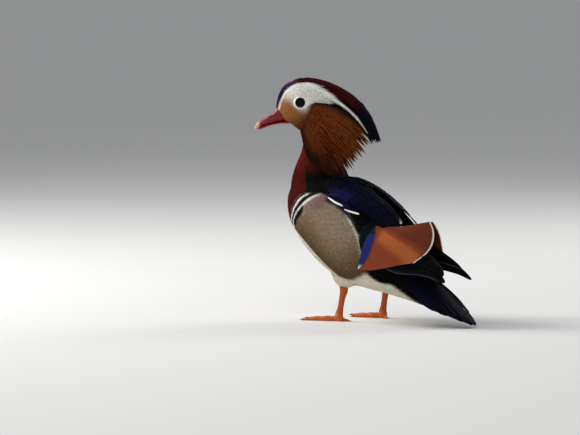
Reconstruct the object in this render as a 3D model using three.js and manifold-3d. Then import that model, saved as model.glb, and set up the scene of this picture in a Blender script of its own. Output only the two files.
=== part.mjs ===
// A life-size male mandarin duck, standing with its head turned to its left.
// Millimetres. +X is the bird's left, -Y is the way its body faces, +Z is up, and the soles lie at Z = 0.
import * as THREE from 'three';
import { mergeVertices } from 'three/addons/utils/BufferGeometryUtils.js';
import Module from 'manifold-3d';

const wasm = await Module();
wasm.setup();

// Driving dimensions
const MIDDLE = 20; // the middle of the whole length lies this far behind the body's own origin
const GAP = 0.3; // clearance between touching pieces
const HEAD_TURN = THREE.MathUtils.degToRad(38); // how far the head looks to the bird's left
const HEAD_CENTRE = new THREE.Vector3(9.6, -57.8, 225);
const EYE = { forward: 12.5, up: 2.4, radius: 6.1, opening: 5, standOut: 2.3 };
const EYE_SPLAY = THREE.MathUtils.degToRad(8); // how far each lid's ring turns towards the bill
const LEG_SIDE = 28; // each ankle's distance from the middle
const STEP = 7.8; // the left foot stands this far forward, the right one this far back
const TOE_LENGTH = { inner: 36, middle: 46, outer: 43 };
const WEB_THICKNESS = 1.4;
const PRIMARIES = 4;
const TERTIALS = 3;
const SECONDARIES = 2;
const TAIL_FEATHERS = 11;
const VANE_THICKNESS = 1.0;
const CRUST = 5; // how deep a wing's core reaches towards the body before it is cut clear of it
const WING_DEPTH = 3.4; // a wing core's height above the body or panel

const COLOURS = {
  chestnut: '#7a2f14',
  buff: '#a98a68',
  white: '#e9e4d6',
  crimson: '#c2343c',
  orange: '#c9602a',
  navy: '#1d2440',
  sail: '#b8592b',
  tail: '#2b2a26',
  leg: '#d0682c',
  eye: '#1a100a',
};

function finish(colour, roughness) {
  return new THREE.MeshStandardMaterial({ color: COLOURS[colour], roughness, metalness: 0 });
}

// Interpolation

/** A smooth function through [position, value] pairs. */
function smoothLine(pairs) {
  const places = pairs.map((pair) => pair[0]);
  const values = pairs.map((pair) => pair[1]);
  const line = new THREE.CubicInterpolant(places, values, 1);
  return (at) => line.evaluate(THREE.MathUtils.clamp(at, places[0], places.at(-1)))[0];
}

/** A smooth curve through points given as [x, y, z]. */
function smoothCurve(points) {
  const knots = points.map((point) => new THREE.Vector3(...point));
  const curve = new THREE.CatmullRomCurve3(knots, false, 'centripetal');
  return (share) => curve.getPoint(THREE.MathUtils.clamp(share, 0, 1));
}

// Solids

/** A manifold solid of a closed geometry, turned right side out. */
function solidOf(geometry) {
  geometry.deleteAttribute('normal');
  geometry.deleteAttribute('uv');
  const merged = mergeVertices(geometry, 1e-4);
  const corners = [];
  for (let i = 0; i < merged.index.count; i += 3) {
    const [a, b, c] = [0, 1, 2].map((k) => merged.index.getX(i + k));
    if (a !== b && b !== c && a !== c) corners.push(a, b, c);
  }
  const vertProperties = new Float32Array(merged.attributes.position.array);
  const make = () => {
    const mesh = new wasm.Mesh({ numProp: 3, vertProperties, triVerts: new Uint32Array(corners) });
    return new wasm.Manifold(mesh);
  };
  const made = make();
  if (made.volume() > 0) return made;
  for (let i = 0; i < corners.length; i += 3) {
    [corners[i], corners[i + 1]] = [corners[i + 1], corners[i]];
  }
  return make();
}

// Steps around and along each rounded form
const STEPS = {
  torso: [22, 17],
  neck: [16, 10],
  skull: [18, 13],
  crest: [8, 9],
  ruff: [12, 7],
  cheek: [8, 9],
  bill: [10, 8],
  wing: [10, 10],
  tail: [12, 9],
  leg: [8, 9],
  thigh: [12, 8],
  toe: [5, 7],
  footPad: [8, 5],
};

/** A rounded closed form: a sphere whose every point is put where place(share along, angle) says. */
function mould([around, along], place) {
  const sphere = new THREE.SphereGeometry(1, around, along);
  const { position, uv } = sphere.attributes;
  for (let i = 0; i < position.count; i += 1) {
    const row = Math.round((1 - uv.getY(i)) * along);
    const column = Math.floor(i % (around + 1)) % around;
    const pole = row === 0 || row === along;
    const point = place(row / along, pole ? 0 : (2 * Math.PI * column) / around);
    position.setXYZ(i, point.x, point.y, point.z);
  }
  return solidOf(sphere);
}

/** A thin closed form: place(share along, share across from -1 to 1, side of the sheet +1 or -1). */
function sheet(lengthSteps, widthSteps, place) {
  const plane = new THREE.PlaneGeometry(1, 1, lengthSteps, widthSteps);
  const count = plane.attributes.position.count;
  const points = [];
  for (const side of [1, -1]) {
    for (let i = 0; i < count; i += 1) {
      const along = plane.attributes.uv.getX(i);
      const across = 2 * plane.attributes.uv.getY(i) - 1;
      points.push(...place(along, across, side).toArray());
    }
  }
  const faces = [];
  const flat = plane.index.array;
  for (let i = 0; i < flat.length; i += 3) {
    faces.push(flat[i], flat[i + 1], flat[i + 2]);
    faces.push(flat[i] + count, flat[i + 2] + count, flat[i + 1] + count);
  }
  const row = lengthSteps + 1;
  const rim = [];
  for (let i = 0; i < lengthSteps; i += 1) rim.push(i);
  for (let j = 0; j < widthSteps; j += 1) rim.push(lengthSteps + j * row);
  for (let i = lengthSteps; i > 0; i -= 1) rim.push(widthSteps * row + i);
  for (let j = widthSteps; j > 0; j -= 1) rim.push(j * row);
  rim.forEach((from, i) => {
    const to = rim[(i + 1) % rim.length];
    faces.push(from, to, to + count, from, to + count, from + count);
  });
  const geometry = new THREE.BufferGeometry();
  geometry.setAttribute('position', new THREE.Float32BufferAttribute(points, 3));
  geometry.setIndex(faces);
  return solidOf(geometry);
}

function union(solids) {
  return solids.reduce((sum, solid) => sum.add(solid));
}

/** The largest closed surface of a solid, with any sealed hollow filled. */
function largest(solid) {
  return solid.decompose().sort((a, b) => b.volume() - a.volume())[0];
}

function mirrored(solid) {
  return solid.mirror([1, 0, 0]);
}

function meshOf(name, solid, material) {
  const kept = largest(solid).getMesh();
  const geometry = new THREE.BufferGeometry();
  const points = new Float32Array(kept.numVert * 3);
  for (let i = 0; i < kept.numVert; i += 1) {
    points.set(kept.vertProperties.subarray(i * kept.numProp, i * kept.numProp + 3), i * 3);
  }
  geometry.setAttribute('position', new THREE.BufferAttribute(points, 3));
  geometry.setIndex(new THREE.BufferAttribute(kept.triVerts, 1));
  geometry.computeVertexNormals();
  const mesh = new THREE.Mesh(geometry, material);
  mesh.name = name;
  return mesh;
}

// Torso: upright sections from the breast to the end of the undertail coverts

const TORSO = [
  // y, top, bottom, half width
  [-84, 126, 126, 0],
  [-80, 139, 111, 22],
  [-68, 149, 87, 38],
  [-50, 153, 68, 48],
  [-28, 150, 50, 53],
  [-5, 139, 39, 54],
  [20, 126, 33, 52],
  [45, 104, 29, 45],
  [60, 83, 26, 37],
  [75, 58, 22.5, 28],
  [88, 41, 19, 20],
  [98, 31, 17, 12],
  [105, 23, 23, 0],
];
const TORSO_FULLNESS = 2.25; // the sections' superellipse power
const TORSO_WIDEST = 0.5; // height of the widest place, as a share of the section

const torsoShare = (y) => {
  const [front, back] = [TORSO[0][0], TORSO.at(-1)[0]];
  return Math.acos(1 - (2 * (y - front)) / (back - front)) / Math.PI;
};
const torsoLine = (column) => smoothLine(TORSO.map((row) => [torsoShare(row[0]), row[column]]));
const torsoTop = torsoLine(1);
const torsoBottom = torsoLine(2);
const torsoHalfWidth = torsoLine(3);

function rounded(value, power) {
  return Math.sign(value) * Math.abs(value) ** (2 / power);
}

/** A point of the torso's surface, at a share from breast to tail and an angle up from its left side. */
function torsoPoint(share, angle, grow = 0) {
  const [front, back] = [TORSO[0][0] - grow, TORSO.at(-1)[0] + grow];
  const y = (front + back) / 2 - ((back - front) / 2) * Math.cos(Math.PI * share);
  const [top, bottom] = [torsoTop(share), torsoBottom(share)];
  const middle = bottom + (top - bottom) * TORSO_WIDEST;
  const swell = grow * Math.sin(Math.PI * share) ** 0.5;
  const up = Math.sin(angle);
  const reach = (up > 0 ? top - middle : middle - bottom) + swell;
  const side = Math.max(0, torsoHalfWidth(share)) + swell;
  return new THREE.Vector3(
    side * rounded(Math.cos(angle), TORSO_FULLNESS),
    y,
    middle + Math.max(0, reach) * rounded(up, TORSO_FULLNESS),
  );
}

function torsoSolid(grow = 0) {
  return mould(STEPS.torso, (share, angle) => torsoPoint(share, angle, grow));
}

/** A point brought out to the torso's surface, within its own upright section, where it lies inside it. */
function overTorso(point) {
  if (point.y <= TORSO[1][0] || point.y >= TORSO.at(-2)[0]) return point;
  const share = torsoShare(point.y);
  const [top, bottom] = [torsoTop(share), torsoBottom(share)];
  const middle = bottom + (top - bottom) * TORSO_WIDEST;
  const reach = point.z > middle ? top - middle : middle - bottom;
  const flat = Math.abs(point.x / torsoHalfWidth(share)) ** TORSO_FULLNESS;
  const high = Math.abs((point.z - middle) / reach) ** TORSO_FULLNESS;
  const depth = (flat + high) ** (1 / TORSO_FULLNESS);
  if (depth < 1) point.set(point.x / depth, point.y, middle + (point.z - middle) / depth);
  return point;
}

// Neck: level sections from inside the torso up into the head

const NECK = [
  // z, forward, left, half length, half width, share of the head's turn
  [108, 44, 0, 0, 0, 0],
  [120, 46, 0, 36, 37, 0],
  [134, 49, 0, 38, 39, 0.02],
  [148, 53, 0.5, 32, 31, 0.15],
  [162, 53.4, 1.5, 26, 24, 0.4],
  [176, 50.6, 3.5, 21.5, 19.5, 0.7],
  [190, 50.9, 5.5, 19, 17, 0.9],
  [206, 53.3, 6.4, 18, 16, 1],
  [217, 54.5, 7.5, 0, 0, 1],
];
const neckLine = (column) => smoothLine(NECK.map((row) => [row[0], row[column]]));
const neckForward = neckLine(1);
const neckLeft = neckLine(2);
const neckHalfLength = smoothLine(NECK.slice(1, -1).map((row) => [row[0], row[3]]));
const neckHalfWidth = smoothLine(NECK.slice(1, -1).map((row) => [row[0], row[4]]));
const neckTurn = neckLine(5);
const NECK_CAP = 0.55; // how quickly the neck's hidden ends close

function neckPoint(share, angle, grow = 0) {
  const [low, high] = [NECK[0][0] - grow, NECK.at(-1)[0] + grow];
  const z = (low + high) / 2 - ((high - low) / 2) * Math.cos(Math.PI * share);
  const open = Math.sin(Math.PI * share) ** NECK_CAP;
  const turned = angle - neckTurn(z) * HEAD_TURN;
  const [long, wide] = [neckHalfLength(z) + grow, neckHalfWidth(z) + grow];
  const out = open / Math.hypot(Math.cos(turned) / long, Math.sin(turned) / wide);
  const forward = neckForward(z) + out * Math.cos(angle);
  return new THREE.Vector3(neckLeft(z) + out * Math.sin(angle), -forward, z);
}

function neckSolid(grow = 0) {
  return mould(STEPS.neck, (share, angle) => neckPoint(share, angle, grow));
}

// Head frame: forward along the bill, left, and up, measured from the head's centre

const UPWARD = new THREE.Vector3(0, 0, 1);

function headPoint(forward, left, up) {
  return new THREE.Vector3(left, -forward, up).applyAxisAngle(UPWARD, HEAD_TURN).add(HEAD_CENTRE);
}

const SKULL = [
  // forward, top, bottom, half width
  [39.5, -10, -10, 0],
  [38.3, -3, -17.5, 6.2],
  [35.5, 5.5, -20, 8.6],
  [31, 14, -21.5, 11.4],
  [24, 21.3, -23.5, 14.2],
  [15, 25.5, -27, 16.4],
  [4, 26.6, -34, 17.8],
  [-8, 24.5, -37, 17.6],
  [-19, 18.5, -36, 15.6],
  [-28, 8, -28, 11.5],
  [-33, -9, -9, 0],
];
const SKULL_FULLNESS = 2.15;
const FACE_SLOPE = 0.6; // how far the feathered face slopes back below the top of the bill
const FACE_SLOPE_FROM = 3;
const skullShare = (forward) => {
  const [front, back] = [SKULL[0][0], SKULL.at(-1)[0]];
  return Math.acos(1 - (2 * (front - forward)) / (front - back)) / Math.PI;
};
const skullLine = (column) => smoothLine(SKULL.map((row) => [skullShare(row[0]), row[column]]));
const skullTop = skullLine(1);
const skullBottom = skullLine(2);
const skullHalfWidth = skullLine(3);

function skullPoint(share, angle, grow = 0) {
  const [front, back] = [SKULL[0][0] + grow, SKULL.at(-1)[0] - grow];
  const forward = (front + back) / 2 + ((front - back) / 2) * Math.cos(Math.PI * share);
  const [top, bottom] = [skullTop(share), skullBottom(share)];
  const middle = (top + bottom) / 2;
  const up = Math.sin(angle);
  const swell = grow * Math.sin(Math.PI * share) ** 0.5;
  const reach = Math.max(0, (up > 0 ? top - middle : middle - bottom) + swell);
  const side = Math.max(0, skullHalfWidth(share) + swell);
  const height = middle + reach * rounded(up, SKULL_FULLNESS);
  const face = THREE.MathUtils.smoothstep(forward, 14, 38);
  const slope = FACE_SLOPE * Math.min(0, height + FACE_SLOPE_FROM) * face;
  return headPoint(forward + slope, side * rounded(Math.cos(angle), SKULL_FULLNESS), height);
}

/** How far the skull's side stands out at a place of its profile. */
function skullSide(forward, up) {
  const share = skullShare(THREE.MathUtils.clamp(forward, SKULL.at(-1)[0] + 0.1, SKULL[0][0] - 0.1));
  const [top, bottom] = [skullTop(share), skullBottom(share)];
  const high = THREE.MathUtils.clamp((up - (top + bottom) / 2) / ((top - bottom) / 2), -1, 1);
  return skullHalfWidth(share) * (1 - Math.abs(high) ** SKULL_FULLNESS) ** (1 / SKULL_FULLNESS);
}

function skullSolid(grow = 0) {
  return mould(STEPS.skull, (share, angle) => skullPoint(share, angle, grow));
}

/** A flat tapered lock or feather along a curve, its flat side turned towards facing(share). */
function blade({ path, facing, halfWidth, thickness, steps }) {
  const NEAR = 0.01;
  const ahead = (along) => path(Math.min(1, along + NEAR));
  const behind = (along) => path(Math.max(0, along - NEAR));
  return sheet(steps, 1, (along, across, side) => {
    const run = ahead(along).sub(behind(along)).normalize();
    const out = facing(along).clone();
    out.addScaledVector(run, -out.dot(run)).normalize();
    const wide = new THREE.Vector3().crossVectors(run, out);
    const point = path(along).addScaledVector(wide, across * halfWidth(along));
    return point.addScaledVector(out, (side * thickness) / 2);
  });
}

/** The half width of a feather with a rounded or pointed end, as a function of the share along it. */
function featherWidth(widest, point = 0.5, rootShare = 0.55) {
  return (along) => {
    const root = rootShare + (1 - rootShare) * Math.min(1, along / 0.4);
    const tip = Math.max(0, 1 - along ** 4) ** point;
    return Math.max(0.35, widest * root * tip);
  };
}

// Crest: long locks from the crown, swept back and drooping to a point behind the nape

const CREST_TOP = smoothCurve([
  [27, 19, 0], [11, 26.6, 0], [-8.5, 25.4, 0], [-28, 18.6, 0],
  [-47.8, 6, 0], [-62, -11.5, 0], [-69, -30, 0], [-72, -39, 0],
]);
const CREST_UNDER = smoothCurve([
  [26, 14, 0], [10, 15, 0], [-8, 11, 0], [-26, 1, 0],
  [-39, -10, 0], [-50, -23, 0], [-58, -34, 0], [-62, -42, 0],
]);
const crestHalfWidth = smoothLine([[0, 4.5], [0.2, 11], [0.45, 13], [0.7, 11], [0.88, 6.5], [1, 2.4]]);
const CREST_ROWS = 3; // locks down each side
const CREST_LAYER = -1.4; // every second row lies this much deeper than the one above it
const CREST_ROOT = -1.6; // the height of a lock's root
const CREST_CORE = { reach: 0.55, high: 0.38, wide: 0.7 };
const CREST_TIERS = [
  { start: 0.04, end: 0.72, lift: 1 },
  { start: 0.36, end: 1, lift: -0.5 },
];
const CREST_LOCK = { halfWidth: 5.4, thickness: 1.2, steps: 5 };

function crestPoint(along, down, side, lift = 0) {
  const profile = CREST_TOP(along).lerp(CREST_UNDER(along), down);
  const spread = Math.sqrt(Math.max(0, 1 - (1 - down) ** 2.2));
  const out = side * (crestHalfWidth(along) * (0.12 + 0.88 * spread) + lift * spread);
  return headPoint(profile.x, out, profile.y + lift * (1 - down));
}

/** The crest's inner body, which the locks lie on. */
function crestCore() {
  return mould(STEPS.crest, (share, angle) => {
    const along = 0.02 + CREST_CORE.reach * (0.5 - 0.5 * Math.cos(Math.PI * share));
    const close = Math.sin(Math.PI * share) ** 0.6;
    const middle = CREST_TOP(along).lerp(CREST_UNDER(along), 0.5);
    const high = CREST_TOP(along).distanceTo(CREST_UNDER(along)) * CREST_CORE.high * close;
    const wide = crestHalfWidth(along) * CREST_CORE.wide * close;
    return headPoint(middle.x, wide * Math.cos(angle), middle.y + high * Math.sin(angle));
  });
}

function crestLock(side, row, tier) {
  const { start, end, lift } = CREST_TIERS[tier];
  const down = 0.1 + (0.82 * row) / (CREST_ROWS - 1);
  const stop = end - 0.02 * row - 0.03 * ((row + tier) % 2);
  const rise = lift + CREST_LAYER * (row % 2);
  const at = (along) => start + (stop - start) * along;
  const height = (along) => CREST_ROOT + (rise - CREST_ROOT) * Math.min(1, along * 3);
  const path = (along) => crestPoint(at(along), down, side, height(along));
  const outer = (along) => crestPoint(at(along), down, side, 3);
  const facing = (along) => outer(along).sub(crestPoint(at(along), down, side, -3));
  const halfWidth = featherWidth(CREST_LOCK.halfWidth - 0.4 * row, 0.7);
  return blade({ path, facing, halfWidth, thickness: CREST_LOCK.thickness, steps: CREST_LOCK.steps });
}

function crestLocks() {
  const locks = [];
  for (const side of [-1, 1]) {
    for (let row = 0; row < CREST_ROWS; row += 1) {
      CREST_TIERS.forEach((_, tier) => locks.push(crestLock(side, row, tier)));
    }
  }
  return locks;
}

// Cheek hackles: long lancet feathers that fan from the cheek, back and down over the neck

const HACKLE_TIPS = smoothCurve([
  [-50, -18, 14], [-55, -33, 19], [-52, -46, 22], [-47, -55, 24], [-41, -62, 25], [-34, -69.5, 25.5],
  [-27, -75.5, 26], [-20, -76, 26.5], [-13.5, -70, 27], [-8, -64.5, 27], [-2.5, -62, 25.5], [3, -59, 22],
]);
const HACKLE_ROOTS = smoothCurve([
  [-4, 4, 0], [-3, 1, 0], [-2, -3, 0], [-1, -7, 0], [0, -11, 0], [2, -14, 0],
  [3, -17, 0], [4, -19.5, 0], [5, -22, 0], [6, -23.5, 0], [7, -25, 0], [8.5, -26, 0],
]);
const HACKLES = 12; // on each side, in the longer of the two tiers
const HACKLE_BEND = 8; // how far the fan's upper locks arch above a straight line
const HACKLE_FLARE = 6; // how far the ruff stands out from the neck
const HACKLE_LAYER = 1.5; // rise from one lock to the one that overlaps it
const HACKLE = { halfWidth: 4.4, thickness: 1.1, steps: 3, depth: 3.5, rootReach: 0.2 };

function hacklePoint(place, far, side, lift) {
  const root = HACKLE_ROOTS(place);
  const tip = HACKLE_TIPS(place);
  const arch = HACKLE_BEND * Math.sin(Math.PI * far) * (1 - place);
  const base = skullSide(root.x, root.y) - HACKLE.depth;
  const out = THREE.MathUtils.lerp(base, tip.z, far ** 0.8) + HACKLE_FLARE * Math.sin(Math.PI * far ** 0.8);
  const [forward, up] = [root.x + (tip.x - root.x) * far, root.y + (tip.y - root.y) * far];
  return headPoint(forward, side * (out + lift), up + arch);
}

function hackles(side) {
  const locks = [];
  const facing = () => headPoint(0, side, 0.25).sub(headPoint(0, 0, 0));
  for (let tier = 0; tier < 2; tier += 1) {
    const count = HACKLES - tier * 4;
    for (let i = 0; i < count; i += 1) {
      const place = (i + 0.5 * tier) / (count - 1 + tier);
      const reach = tier ? 0.8 : 1 - 0.04 * (i % 2);
      const lift = HACKLE_LAYER * (2 * tier + (i % 2));
      const at = (along) => HACKLE.rootReach + along * (reach - HACKLE.rootReach);
      const path = (along) => hacklePoint(place, at(along), side, lift * Math.min(1, along * 3));
      const halfWidth = featherWidth(HACKLE.halfWidth, 0.6, 0.75);
      locks.push(blade({ path, facing, halfWidth, thickness: HACKLE.thickness, steps: HACKLE.steps }));
    }
  }
  return locks;
}

const RUFF_PAD = { reach: 0.27, top: 2.6, depth: 12 };

/** The padding of one cheek, which the hackles of that side grow from. */
function ruffPad(side) {
  return mould(STEPS.cheek, (share, angle) => {
    const close = Math.sin(Math.PI * share) ** 0.4;
    const place = 0.5 - 0.5 * Math.cos(Math.PI * share);
    const far = RUFF_PAD.reach * (1 + Math.cos(angle) * close);
    const height = Math.sin(angle) > 0 ? RUFF_PAD.top : RUFF_PAD.depth;
    return hacklePoint(place, far, side, height * Math.sin(angle) * close);
  });
}

/** The ruff's inner body behind the neck, by its share down from the nape. */
function ruffCore() {
  return mould(STEPS.ruff, (share, angle) => {
    const drop = 0.5 - 0.5 * Math.cos(Math.PI * share);
    const close = Math.sin(Math.PI * share) ** 0.6;
    const long = (22 - 4 * drop) * close;
    const wide = (15 + 4 * drop) * close;
    return headPoint(-12 - 9 * drop + long * Math.cos(angle), wide * Math.sin(angle), -2 - 34 * drop);
  });
}

function eyelid(side) {
  const rim = new THREE.TorusGeometry(EYE.opening + 0.5, 0.95, 5, 14);
  rim.rotateY(Math.PI / 2);
  const spot = headPoint(EYE.forward, side * (skullSide(EYE.forward, EYE.up) + 0.2), EYE.up);
  rim.applyMatrix4(new THREE.Matrix4().makeRotationZ(HEAD_TURN + EYE_SPLAY * side).setPosition(spot));
  return solidOf(rim);
}

function eyeball(side, grow = 0) {
  const ball = new THREE.SphereGeometry(EYE.radius + grow, 12, 9);
  const sunk = skullSide(EYE.forward, EYE.up) - EYE.radius + EYE.standOut;
  const spot = headPoint(EYE.forward, side * sunk, EYE.up);
  ball.translate(spot.x, spot.y, spot.z);
  return solidOf(ball);
}

// Bill: short and tapered with a nail at its tip; the line of the mouth parts its two halves

const mouthLine = smoothLine([[26, -17.4], [36, -18.8], [45, -20.6], [52, -22.7], [57, -25.2], [61, -27]]);
const culmen = smoothLine([
  [30, 1], [36, -3], [41, -8.2], [47.7, -13.2], [54, -17.2], [58.4, -20.2], [60.2, -23.6],
]);
const billKeel = smoothLine([[24, -20.4], [36, -21], [45.8, -23.4], [52, -25.8], [57.5, -27.6]]);
const billHalfWidth = smoothLine([
  [26, 5], [34, 6.8], [42, 6.3], [50, 5.6], [56, 5], [59, 3.9], [60.4, 2.2],
]);
const BILL_FULLNESS = 2.3;
const MOUTH_OVERLAP = 1; // the lower half rises this far into the upper one, before it is cut clear of it

/** One half of the bill between two profile lines, from one forward place to another. */
function billHalf(from, to, topLine, bottomLine, narrow, grow = 0) {
  const rings = STEPS.bill[1];
  return mould(STEPS.bill, (share, angle) => {
    const inner = THREE.MathUtils.clamp((share * rings - 1) / (rings - 2), 0, 1);
    const forward = THREE.MathUtils.lerp(from, to, Math.sin((inner * Math.PI) / 2));
    const [top, bottom] = [topLine(forward) + grow, bottomLine(forward) - grow];
    const open = share === 0 || share === 1 ? 0 : 1;
    const side = (billHalfWidth(forward) * narrow + grow) * rounded(Math.cos(angle), BILL_FULLNESS) * open;
    const height = ((top - bottom) / 2) * rounded(Math.sin(angle), BILL_FULLNESS) * open;
    return headPoint(forward, side, (top + bottom) / 2 + height);
  });
}

const UPPER_BILL = { from: 31, to: 60.3, narrow: 1 };
const LOWER_BILL = { from: 27, to: 57.6, narrow: 0.86 };

function upperBill(grow = 0) {
  const { from, to, narrow } = UPPER_BILL;
  return billHalf(from, to, culmen, (at) => mouthLine(at) + GAP / 2, narrow, grow);
}

function lowerBill() {
  const { from, to, narrow } = LOWER_BILL;
  return billHalf(from, to, (at) => mouthLine(at) + MOUTH_OVERLAP, billKeel, narrow);
}

const NOSTRIL = { forward: 43, side: 5.2, up: -12.6 };

function nostril(side) {
  const slot = new THREE.SphereGeometry(1, 8, 6);
  slot.scale(1.2, 2.6, 0.9);
  slot.rotateX(-0.5);
  const spot = headPoint(NOSTRIL.forward, side * NOSTRIL.side, NOSTRIL.up);
  slot.applyMatrix4(new THREE.Matrix4().makeRotationZ(HEAD_TURN).setPosition(spot));
  return solidOf(slot);
}

// Wing: a curved panel from the shoulder to the wing tip, with feathers laid along it in tiers

const WING_UPPER = smoothCurve([
  [10, -34, 154], [7, -8, 147], [5, 15, 135.5], [4, 40, 118],
  [5, 63, 100], [9, 90, 80], [16, 110, 62], [22.5, 126, 47.5],
]);
const WING_LOWER = smoothCurve([
  [40, -22, 134], [43, 5, 121], [45, 20, 108], [47, 32, 92], [45, 44, 70],
  [37, 62, 57.5], [27, 86, 54.5], [25, 108, 52], [23.5, 126, 45.5],
]);
const wingBulge = smoothLine([[0, 2], [0.3, 4], [0.5, 5], [0.65, 3.5], [0.85, 2], [1, 0.3]]);

/** The wing's bare panel, along it and down it from the back. */
function wingPanel(along, down) {
  const [upper, lower] = [WING_UPPER(along), WING_LOWER(along)];
  const chord = lower.clone().sub(upper);
  const out = new THREE.Vector3(-chord.z, 0, chord.x).normalize();
  const bulge = wingBulge(along) * Math.sin(Math.PI * down);
  return overTorso(upper.lerp(lower, down).addScaledVector(out, bulge));
}

/** A point at a height over the wing's panel. */
function wingPoint(along, down, lift = 0) {
  const NEAR = 0.04;
  const [low, high] = [Math.max(0, along - NEAR), Math.min(1, along + NEAR)];
  const run = wingPanel(high, down).sub(wingPanel(low, down));
  const drop = wingPanel(along, Math.min(1, down + NEAR)).sub(wingPanel(along, Math.max(0, down - NEAR)));
  const normal = new THREE.Vector3().crossVectors(run, drop).normalize();
  if (normal.x + normal.z < 0) normal.negate();
  return wingPanel(along, down).addScaledVector(normal, lift);
}

/** A feather laid on the wing from one place to another, each given as [along, down, lift]. */
function wingFeather(from, to, halfWidth, { sag = 0, point = 0.5, steps = 4 } = {}) {
  const mix = (i, share) => THREE.MathUtils.lerp(from[i], to[i], share);
  const place = (share) => [mix(0, share), mix(1, share) + sag * Math.sin(Math.PI * share)];
  const path = (share) => wingPoint(...place(share), mix(2, share ** 0.7));
  const facing = (share) => wingPoint(...place(share), 3).sub(wingPoint(...place(share), -3));
  const width = featherWidth(halfWidth, point);
  return blade({ path, facing, halfWidth: width, thickness: VANE_THICKNESS, steps });
}

/** The wing's inner body, from the shoulder to the roots of the flight feathers. */
function wingCore() {
  return mould(STEPS.wing, (share, angle) => {
    const along = 0.01 + 0.71 * (0.5 - 0.5 * Math.cos(Math.PI * share));
    const close = Math.sin(Math.PI * share) ** 0.5;
    const down = 0.5 + 0.42 * close * Math.cos(angle);
    const deep = along < 0.5 ? CRUST : THREE.MathUtils.mapLinear(along, 0.5, 1, CRUST, 0.8);
    const lift = Math.sin(angle) > 0 ? WING_DEPTH * Math.sin(angle) : deep * Math.sin(angle);
    return wingPoint(along, down, lift * close);
  });
}

function flightFeathers() {
  const feathers = [];
  // Primaries: a narrow stack along the lower edge, each shorter than the one inside it
  for (let i = 0; i < PRIMARIES; i += 1) {
    const tip = [0.985 - 0.055 * i, 0.72 + 0.05 * i, 0.2 + 1.35 * i];
    feathers.push(wingFeather([0.5, 0.86 - 0.02 * i, 0.2], tip, 5.4, { sag: 0.08 }));
  }
  // Tertials: broad dark feathers along the upper edge, over the primaries
  for (let i = 0; i < TERTIALS; i += 1) {
    const tip = [0.95 - 0.08 * i, 0.3 + 0.14 * i, 1.4 + 1.4 * i];
    feathers.push(wingFeather([0.5, 0.26 + 0.14 * i, 0.2], tip, 7.6));
  }
  // Secondaries between the flank and the sail
  for (let i = 0; i < SECONDARIES; i += 1) {
    const tip = [0.62 - 0.02 * i, 0.54 + 0.22 * i, WING_DEPTH + 1 + (i % 2)];
    feathers.push(wingFeather([0.34 + 0.03 * i, 0.5 + 0.22 * i, 0.8], tip, 7.6));
  }
  return feathers;
}

const SCAPULAR_ROWS = [
  { count: 3, start: 0.06, reach: 0.26, top: 0.2, low: 0.86, halfWidth: 8.5, lift: 3.2 },
  { count: 3, start: 0.18, reach: 0.28, top: 0.14, low: 0.66, halfWidth: 8.5, lift: 5 },
  { count: 3, start: 0.28, reach: 0.34, top: 0.12, low: 0.44, halfWidth: 7.5, lift: 7 },
];

function scapulars() {
  return SCAPULAR_ROWS.flatMap(({ count, start, reach, top, low, halfWidth, lift }) =>
    Array.from({ length: count }, (_, i) => {
      const down = top + ((low - top) * i) / (count - 1);
      const tip = [start + reach - 0.025 * i, down * 0.8 + 0.02, lift + 1.3 * (i % 2)];
      return wingFeather([start, down, 0.6], tip, halfWidth, { point: 0.75 });
    }),
  );
}

// Sail: the great inner tertial, drooped like a tent panel, its blue outer vane in front

const SAIL_TOP = smoothCurve([[33, 43, 102], [26, 52, 101], [18, 66, 101.5], [9, 80, 104.5], [3, 91, 107]]);
const SAIL_REAR = smoothCurve([
  [3, 91, 107], [4, 96, 99], [6, 98, 91], [9.5, 97.5, 82], [16, 94.5, 74], [28, 89, 66],
]);
const SAIL_BOTTOM = smoothCurve([
  [52, 35, 58.5], [50, 46, 57.5], [44, 62, 60], [36, 76, 63.5], [28, 89, 66],
]);
const SAIL_FRONT = smoothCurve([[33, 43, 102], [43, 43, 95], [49.5, 41, 85], [52, 38, 72], [52, 35, 58.5]]);
const SAIL_BULGE = 4;
const SAIL_OUT = new THREE.Vector3(0.8, 0.15, 0.55).normalize();

/** A point of the sail between its four edges, by its shares back and down. */
function sailPoint(back, down) {
  const point = SAIL_TOP(back).multiplyScalar(1 - down).addScaledVector(SAIL_BOTTOM(back), down);
  point.addScaledVector(SAIL_FRONT(down), 1 - back).addScaledVector(SAIL_REAR(down), back);
  point.addScaledVector(SAIL_TOP(0), -(1 - back) * (1 - down));
  point.addScaledVector(SAIL_BOTTOM(0), -(1 - back) * down);
  point.addScaledVector(SAIL_TOP(1), -back * (1 - down));
  point.addScaledVector(SAIL_BOTTOM(1), -back * down);
  return point.addScaledVector(SAIL_OUT, SAIL_BULGE * Math.sin(Math.PI * back) * Math.sin(Math.PI * down));
}

function sail(grow = 0) {
  const STEP_SHARE = 0.02;
  return sheet(7, 6, (back, across, side) => {
    const down = (across + 1) / 2;
    const [b, d] = [back, down].map((v) => THREE.MathUtils.clamp(v, STEP_SHARE, 1 - STEP_SHARE));
    const alongBack = sailPoint(b + STEP_SHARE, d).sub(sailPoint(b - STEP_SHARE, d));
    const alongDown = sailPoint(b, d + STEP_SHARE).sub(sailPoint(b, d - STEP_SHARE));
    const normal = new THREE.Vector3().crossVectors(alongDown, alongBack).normalize();
    if (normal.x < 0) normal.negate();
    const rim = (share) => Number(share > 1 - STEP_SHARE) - Number(share < STEP_SHARE);
    const point = sailPoint(back, down).addScaledVector(normal, side * (VANE_THICKNESS / 2 + grow));
    point.addScaledVector(alongBack.normalize(), 1.3 * grow * rim(back));
    return point.addScaledVector(alongDown.normalize(), 1.3 * grow * rim(down));
  });
}

// Tail: graduated feathers in a low tent, the middle pair longest, with coverts over their roots

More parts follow.
